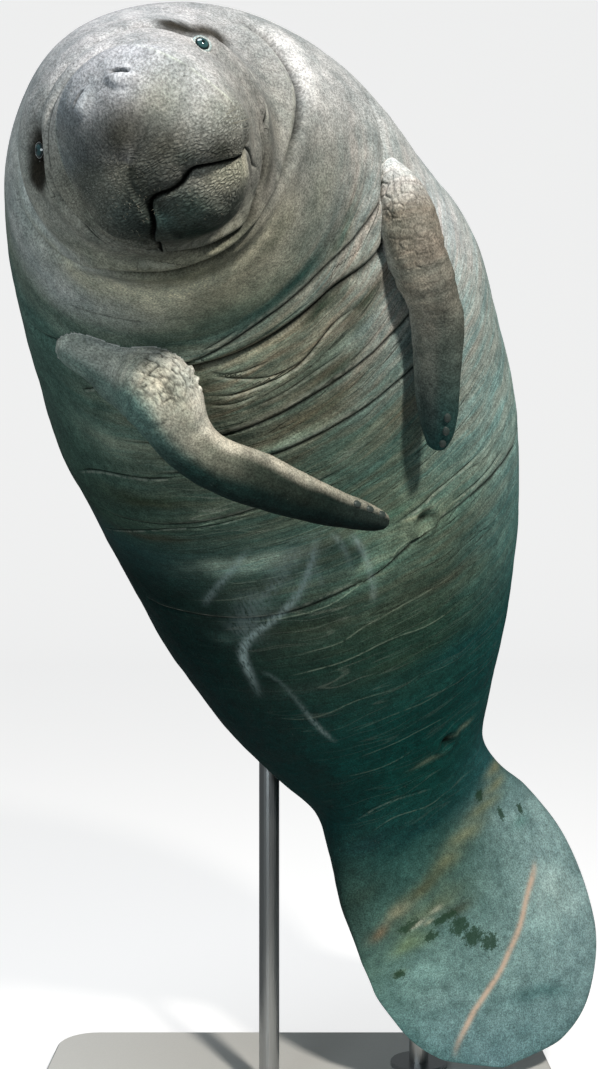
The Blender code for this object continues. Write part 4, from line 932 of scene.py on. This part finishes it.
def hideMaterial():
    # Wet manatee hide: thick, wrinkled, leathery, olive grey to teal with pale scuffs; dull, with soft broad highlights
    material, tree, shader = newMaterial("wetManateeHide", Roughness=0.62, IOR=1.36)
    rest = put(tree, "ShaderNodeAttribute", attribute_name="rest").outputs["Vector"]
    tone = put(tree, "ShaderNodeAttribute", attribute_name="tone").outputs["Color"]
    masks = {}
    for name in ("crease", "creaseMask", "muzzle", "furrow", "algae", "paintedShade", "scar", "pink"):
        masks[name] = put(tree, "ShaderNodeAttribute", attribute_name=name).outputs["Fac"]

    def maths(operation, a, b=None, c=None):
        node = put(tree, "ShaderNodeMath", operation=operation)
        for slot, value in enumerate((a, b, c)):
            if value is None:
                continue
            if isinstance(value, (int, float)):
                node.inputs[slot].default_value = value
            else:
                tree.links.new(value, node.inputs[slot])
        return node.outputs[0]

    def product(*factors):
        total = factors[0]
        for factor in factors[1:]:
            total = maths("MULTIPLY", total, factor)
        return total

    def total(*terms):
        added = terms[0]
        for term in terms[1:]:
            added = maths("ADD", added, term)
        return added

    def span(value, low, high, outLow=0.0, outHigh=1.0):
        return put(tree, "ShaderNodeMapRange", {1: low, 2: high, 3: outLow, 4: outHigh}, {0: value},
                   interpolation_type="SMOOTHSTEP").outputs[0]

    def band(value, middle, half):
        # 1 where the value is close to the middle: draws the thin contour lines of a noise
        return span(maths("ABSOLUTE", maths("SUBTRACT", value, middle)), half, 0.25 * half)

    def blendTo(amount, below, above, how="MIX"):
        node = put(tree, "ShaderNodeMix", data_type="RGBA", blend_type=how)
        for slot, value in ((0, amount), (6, below), (7, above)):
            if isinstance(value, (int, float)):
                node.inputs[slot].default_value = value
            elif isinstance(value, str):
                node.inputs[slot].default_value = (*linear(value), 1)
            else:
                tree.links.new(value, node.inputs[slot])
        return node.outputs[2]

    def cloud(size, detail=4, roughness=0.55, vector=None):
        return put(tree, "ShaderNodeTexNoise", {"Scale": 1 / size, "Detail": detail, "Roughness": roughness},
                   {"Vector": vector or rest}).outputs["Fac"]

    def stretched(x, y, z, vector=None):
        return put(tree, "ShaderNodeVectorMath", {1: (1 / x, 1 / y, 1 / z)}, {0: vector or rest}, operation="MULTIPLY").outputs[0]

    def wandered(size, amount):
        swirl = put(tree, "ShaderNodeTexNoise", {"Scale": 1 / size, "Detail": 2}, {"Vector": rest}).outputs["Color"]
        swirl = put(tree, "ShaderNodeVectorMath", {1: (0.5, 0.5, 0.5)}, {0: swirl}, operation="SUBTRACT").outputs[0]
        swirl = put(tree, "ShaderNodeVectorMath", {"Scale": amount}, {0: swirl}, operation="SCALE").outputs[0]
        return put(tree, "ShaderNodeVectorMath", None, {0: rest, 1: swirl}, operation="ADD").outputs[0]

    bent = wandered(0.030, 0.010)
    swept = wandered(0.20, 0.06)

    # 4 to 7 mm pillows of skin on the muzzle, longer across than down
    pillows = put(tree, "ShaderNodeTexVoronoi", {"Scale": 1.0}, {"Vector": stretched(.0046, .0105, .0040, bent)},
                  feature="DISTANCE_TO_EDGE").outputs[0]
    pillow = span(pillows, 0.0, 0.33)
    grain = cloud(0.0026, 3, 0.65)
    blotch = cloud(0.045, 6, 0.62)
    patch = cloud(0.15, 5, 0.6)
    mottle = cloud(0.014, 5, 0.65)
    # wrinkles that run round the body, about 5 mm apart, and longer colour bands
    lines = cloud(1.0, 3, 0.5, stretched(0.0050, 0.10, 0.10, bent))
    bands = cloud(1.0, 5, 0.62, stretched(0.028, 0.20, 0.20, swept))
    wide = cloud(1.0, 1, 0.3, stretched(0.045, 0.80, 0.80, swept))
    close = cloud(1.0, 1, 0.3, stretched(0.022, 0.55, 0.55, swept))
    thinDark = product(band(wide, 0.47, 0.010), span(blotch, 0.42, 0.58))
    thinPale = total(product(band(wide, 0.55, 0.010), span(patch, 0.42, 0.58)),
                     product(band(close, 0.50, 0.018), span(patch, 0.60, 0.44), 0.6))

    # thin creases: a groove of painted shade with a painted highlight on the edge above it, or a raised line with a
    # painted highlight
    mask = masks["creaseMask"]
    def lineAt(away, half):
        return maths("EXPONENT", product(maths("POWER", maths("SUBTRACT", masks["crease"], away), 2.0), -1 / half ** 2))
    groove = product(lineAt(0.0, 0.0016), maths("MAXIMUM", mask, 0.0))
    creaseLipHighlight = product(lineAt(-0.0042, 0.0022), maths("MAXIMUM", mask, 0.0))
    raisedLineHighlight = product(lineAt(0.0, 0.0015), maths("MAXIMUM", product(mask, -1.0), 0.0))

    height = total(
        product(pillow, masks["muzzle"], 0.00075),
        product(lines, masks["furrow"], 0.0008),
        product(thinDark, masks["furrow"], -0.0010),
        product(grain, 0.00080), product(mottle, 0.0010), product(cloud(0.0075, 2, 0.5), 0.0006),
        product(groove, -0.0014))
    bumpNode = put(tree, "ShaderNodeBump", {"Strength": 1.0, "Distance": 1.0}, {"Height": height})

    def tinted(value, low, high, dull, bright):
        # multiplies the colour by a shade that runs from dull to bright
        dull, bright = ((v, v, v) if isinstance(v, float) else v for v in (dull, bright))
        channels = [span(value, low, high, d, b) for d, b in zip(dull, bright)]
        return put(tree, "ShaderNodeCombineColor", None, dict(enumerate(channels))).outputs[0]

    colour = blendTo(1.0, tone, tinted(blotch, 0.28, 0.72, (.74, .78, .77), (1.24, 1.22, 1.19)), "MULTIPLY")
    colour = blendTo(1.0, colour, tinted(mottle, 0.25, 0.75, 0.78, 1.20), "MULTIPLY")
    # rust brown and teal bands over the belly
    colour = blendTo(masks["furrow"], colour, blendTo(1.0, colour, tinted(bands, 0.34, 0.66, (.80, .97, .97), (1.22, 1.03, .95)), "MULTIPLY"))
    colour = blendTo(masks["furrow"], colour, blendTo(1.0, colour, tinted(lines, 0.32, 0.68, 0.80, 1.20), "MULTIPLY"))
    colour = blendTo(product(thinDark, masks["furrow"], 0.50), colour, blendTo(1.0, colour, "#5a605c", "MULTIPLY"))
    colour = blendTo(product(thinPale, masks["furrow"], 0.24), colour, "#a9b0a2")
    # fine grit and pores, drawn at 3 mm, a little coarser than life
    colour = blendTo(1.0, colour, tinted(cloud(0.0030, 2, 0.7), 0.32, 0.70, 0.64, 1.36), "MULTIPLY")
    colour = blendTo(span(cloud(0.0042, 2, 0.7), 0.70, 0.78, 0.0, 0.14), colour, "#c3c4b8")
    colour = blendTo(span(cloud(0.0060, 3, 0.7), 0.36, 0.26, 0.0, 0.45), colour, blendTo(1.0, colour, "#4a4a44", "MULTIPLY"))
    # painted shade in the valleys between the muzzle's pillows
    colour = blendTo(product(maths("SUBTRACT", 1.0, pillow), masks["muzzle"], 0.42), colour, blendTo(1.0, colour, "#57584f", "MULTIPLY"))
    # painted light and shade on the creases: a highlight on the pale edge above each groove, near-black shade in the
    # groove, and a highlight along each raised line
    colour = blendTo(product(creaseLipHighlight, span(mottle, 0.35, 0.6), 0.35), colour, "#b4b7ab")
    colour = blendTo(product(groove, 0.90), colour, "#101411")
    colour = blendTo(product(raisedLineHighlight, span(mottle, 0.30, 0.55), 0.75), colour, "#727a6c", "ADD")
    streak = cloud(1.0, 4, 0.6, stretched(0.016, 0.005, 0.005))
    colour = blendTo(product(masks["scar"], span(streak, 0.25, 0.60), 0.85), colour, "#a9bfbf")
    colour = blendTo(product(masks["pink"], span(mottle, 0.15, 0.5), 0.85), colour, "#cfb39e")
    algaeSpot = span(total(masks["algae"], product(maths("SUBTRACT", cloud(0.009, 5, 0.8), 0.5), 2.2)), 0.42, 0.72)
    colour = blendTo(product(algaeSpot, 0.85), colour, "#233c2b")
    # painted shade, near-black, in the mouth and nostril slits
    colour = blendTo(masks["paintedShade"], colour, "#0a0c0a")
    tree.links.new(colour, shader.inputs["Base Color"])
    tree.links.new(bumpNode.outputs[0], shader.inputs["Normal"])
    tree.links.new(span(blotch, 0.3, 0.7, 0.58, 0.76), shader.inputs["Roughness"])
    shader.inputs["Specular IOR Level"].default_value = 0.13
    return material


skin.data.materials.clear()
skin.data.materials.append(hideMaterial())
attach(skin, "root")
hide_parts("head", "neck", "chest", "belly", "loin", "tail_stock", "tail_paddle", "flipper_left", "flipper_right")


bristles = {
    # across, down, spread of the roots in metres, count, length, radius at the root
    "lipCorner": (.117, .014, .015, 16, .026, .00048),
    "upperLip": (.020, .020, .055, 70, .0055, .00026),
    "rightLip": (-.035, .055, .030, 40, .0055, .00030),
    "lowerLip": (.060, .085, .035, 24, .0050, .00026),
}


def makeBristles():
    rng = np.random.default_rng(4)
    across, down, back = facePlane
    towardsTail = np.gradient(bodyPoints, axis=0)
    around = np.roll(bodyPoints, -1, axis=1) - np.roll(bodyPoints, 1, axis=1)
    outward = unit(np.cross(around, towardsTail))
    axis = spineFrames(np.array([0.0]))[1][0]
    outward *= -np.sign(np.sum(outward * axis, axis=-1, keepdims=True))
    clear = (back < 0.06) & (np.abs(mouthDistance(across, down)) > 0.004) & (across < 0.126)
    verts, faces, spots = [], [], []
    for x, y, spread, count, length, radius in bristles.values():
        near = np.argwhere(clear & (np.hypot(across - x, down - y) < spread))
        for ring, spoke in near[rng.choice(len(near), min(count, len(near)), replace=False)]:
            root, way = bodyPoints[ring, spoke], outward[ring, spoke]
            side = unit(np.cross(way, (0.3, 0.2, 1.0)) + rng.normal(0, 0.2, 3))
            lean = unit(way + 0.5 * rng.normal(0, 0.4, 3) + np.array((0.5, -0.1, 0.25)))
            long = length * rng.uniform(0.6, 1.2)
            first, steps = len(verts), 5
            for k in range(steps):
                t = k / (steps - 1)
                middle = root - 0.001 * way + long * (t * way + 0.7 * t * t * (lean - way))
                for j in range(4):
                    turn = math.pi / 2 * j
                    out = math.cos(turn) * side + math.sin(turn) * np.cross(side, way)
                    verts.append(middle + out * radius * (1 - 0.85 * t))
            for k in range(steps - 1):
                for j in range(4):
                    n, low = (j + 1) % 4, first + 4 * k
                    faces.append((low + j, low + n, low + 4 + n, low + 4 + j))
            faces.append(tuple(first + 4 * (steps - 1) + j for j in range(4)))
            place = (spokeAngles[spoke] / (2 * math.pi), ringShares[ring])
            spots += [place] * (4 * (steps - 1) + 1)
    mesh = bpy.data.meshes.new("bristles")
    mesh.from_pydata([tuple(v) for v in verts], [], faces)
    # one small patch for each bristle, placed by where its root sits round the body and along it
    layer = mesh.uv_layers.new(name="OFBake")
    corners = ((0, 0), (.003, 0), (.003, .003), (0, .003))
    for face, (u, v) in zip(mesh.polygons, spots):
        for k, loop in enumerate(face.loop_indices):
            layer.data[loop].uv = (u + corners[k][0] - .0015, v + corners[k][1])
    return newObject("muzzle_bristles", mesh)


print("growing the bristles")
bristleFinish, tree, shader = newMaterial("paleBristleHorn", Roughness=0.45, IOR=1.5)   # stiff, pale and dry at the tip
fleck = put(tree, "ShaderNodeTexNoise", {"Scale": 1 / 0.004, "Detail": 2})
mixBristle = put(tree, "ShaderNodeMix", {6: (*linear("#6f6c60"), 1), 7: (*linear("#a9a596"), 1)}, {0: fleck.outputs["Fac"]},
                 data_type="RGBA")
tree.links.new(mixBristle.outputs[2], shader.inputs["Base Color"])
hairs = makeBristles()
hairs.data.materials.append(bristleFinish)
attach(hairs, "root")


def eyeMaterial():
    # Living eye: clear wet cornea over a teal iris; a tight sharp highlight
    material, tree, shader = newMaterial("wetEyeball", Roughness=0.06, IOR=1.38)
    shader.inputs["Coat Weight"].default_value = 1.0
    shader.inputs["Coat Roughness"].default_value = 0.03
    away = put(tree, "ShaderNodeAttribute", attribute_name="away").outputs["Fac"]
    bands = put(tree, "ShaderNodeValToRGB", None, {"Fac": away})
    stops = ((0.0, "#060a0b"), (0.13, "#0a1011"), (0.24, "#274346"), (0.55, "#2c4b4e"), (0.68, "#122224"), (1.0, "#151b1a"))
    rings = bands.color_ramp.elements
    while len(rings) < len(stops):
        rings.new(0.5)
    for element, (place, colour) in zip(rings, stops):
        element.position, element.color = place, (*linear(colour), 1)
    tree.links.new(bands.outputs[0], shader.inputs["Base Color"])
    return material


eyeFinish = eyeMaterial()
for side, (centre, facing) in eyeSpots.items():
    eye = ballMesh("eyeball_" + side, centre, face["eyeRadius"], 48, 32)
    co = np.array([v.co for v in eye.data.vertices]) - centre
    towards = unit(co) @ facing
    eye.data.attributes.new("away", "FLOAT", "POINT").data.foreach_set("value", np.arccos(np.clip(towards, -1, 1)).astype(np.float32))
    bulge = 1 + 0.05 * np.exp(-(np.arccos(np.clip(towards, -1, 1)) / 0.5) ** 2)
    for vert, grow, offset in zip(eye.data.vertices, bulge, co):
        vert.co = centre + offset * min(grow, 1.03)
    eye.data.shade_smooth()
    eye.data.materials.append(eyeFinish)
    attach(eye, "root")
    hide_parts("eye_" + side)

nailFinish, tree, shader = newMaterial("hornNail", Roughness=0.42, IOR=1.5)
horn = put(tree, "ShaderNodeTexNoise", {"Scale": 1 / 0.004, "Detail": 4})
mixHorn = put(tree, "ShaderNodeMix", {6: (*linear("#27312f"), 1), 7: (*linear("#3c4643"), 1)}, {0: horn.outputs["Fac"]}, data_type="RGBA")
tree.links.new(mixHorn.outputs[2], shader.inputs["Base Color"])
for name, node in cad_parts.items():
    if name.startswith("nail_"):
        node.data.materials.clear()
        node.data.materials.append(nailFinish)


def standMaterials():
    # Powder-coated steel base: pale grey, very fine orange peel
    base, tree, shader = newMaterial("powderCoatedBase", Roughness=0.5)
    peel = put(tree, "ShaderNodeTexNoise", {"Scale": 1 / 0.003, "Detail": 3})
    peelBump = put(tree, "ShaderNodeBump", {"Strength": 0.15, "Distance": 0.001}, {"Height": peel.outputs["Fac"]})
    shade = put(tree, "ShaderNodeMix", {6: (*linear("#e4e4e1"), 1), 7: (*linear("#efefec"), 1)}, {0: peel.outputs["Fac"]}, data_type="RGBA")
    tree.links.new(shade.outputs[2], shader.inputs["Base Color"])
    tree.links.new(peelBump.outputs[0], shader.inputs["Normal"])
    # Stainless rod, brushed along its length
    rod, tree, shader = newMaterial("brushedStainlessRod", Roughness=0.3, Metallic=1.0)
    where = put(tree, "ShaderNodeTexCoord").outputs["Object"]
    drawn = put(tree, "ShaderNodeVectorMath", {1: (900, 900, 12)}, {0: where}, operation="MULTIPLY").outputs[0]
    brush = put(tree, "ShaderNodeTexNoise", {"Scale": 1.0, "Detail": 3}, {"Vector": drawn})
    steel = put(tree, "ShaderNodeMix", {6: (*linear("#8f9192"), 1), 7: (*linear("#b8babb"), 1)}, {0: brush.outputs["Fac"]}, data_type="RGBA")
    tree.links.new(steel.outputs[2], shader.inputs["Base Color"])
    return base, rod


baseFinish, rodFinish = standMaterials()
for name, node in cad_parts.items():
    if name.startswith("stand_"):
        node.data.materials.clear()
        node.data.materials.append(baseFinish if name == "stand_base" else rodFinish)

print("stage and lights")


def backdrop():
    # seamless white paper: floor that curves up behind
    profile = [(-11.0, 0.0), (11.0, 0.0)]
    for k in range(1, 13):
        turn = math.pi / 2 * k / 12
        profile.append((11.0 + 2.0 * math.sin(turn), 2.0 - 2.0 * math.cos(turn)))
    profile.append((13.0, 12.0))
    bm = bmesh.new()
    rows = [[bm.verts.new((x, y, z)) for y, z in profile] for x in (-13.0, 13.0)]
    for k in range(len(profile) - 1):
        bm.faces.new((rows[0][k], rows[0][k + 1], rows[1][k + 1], rows[1][k]))
    mesh = bpy.data.meshes.new("backdrop")
    bm.to_mesh(mesh)
    bm.free()
    mesh.shade_smooth()
    sheet = newObject("backdrop", mesh)
    paper, tree, shader = newMaterial("whiteBackdropPaper", Roughness=0.9)
    shader.inputs["Base Color"].default_value = (0.50, 0.50, 0.50, 1)
    shader.inputs["Emission Color"].default_value = (1.0, 1.0, 1.0, 1)
    shader.inputs["Emission Strength"].default_value = 0.76
    mesh.materials.append(paper)
    sheet.visible_diffuse, sheet.visible_glossy = False, False
    return sheet


sheet = backdrop()


def areaLight(name, place, target, size, watts, colour):
    light = bpy.data.lights.new(name, "AREA")
    light.shape, light.size, light.energy = "DISK", size, watts
    light.color = linear(colour)
    lamp = bpy.data.objects.new(name, light)
    bpy.context.scene.collection.objects.link(lamp)
    lamp.location = place
    lamp.rotation_euler = (Vector(target) - Vector(place)).to_track_quat("-Z", "Y").to_euler()


areaLight("key", (1.5, -3.3, 3.5), (0.0, -0.5, 1.3), 0.40, 205, "#fff8ee")
areaLight("top", (-0.4, -1.2, 4.0), (-0.1, -0.5, 1.5), 1.4, 50, "#f2f8ff")
areaLight("fill", (-1.7, -3.6, 1.3), (-0.1, -0.3, 1.2), 1.6, 40, "#e6f2f6")
world = bpy.data.worlds.new("studio")
bpy.context.scene.world = world
world.use_nodes = True
world.node_tree.nodes["Background"].inputs[0].default_value = (*linear("#dfe6e8"), 1)
world.node_tree.nodes["Background"].inputs[1].default_value = 0.18

camera = bpy.data.cameras.new("camera")
camera.sensor_width = 36.0
camera.lens = 50.51
viewpoint = bpy.data.objects.new("camera", camera)
bpy.context.scene.collection.objects.link(viewpoint)
viewpoint.location = (0.0, -2.85, 1.20)
viewpoint.rotation_euler = (math.pi / 2, 0.0, 0.0)
bpy.context.scene.camera = viewpoint
bpy.context.scene.view_settings.view_transform = "Standard"

print("done")
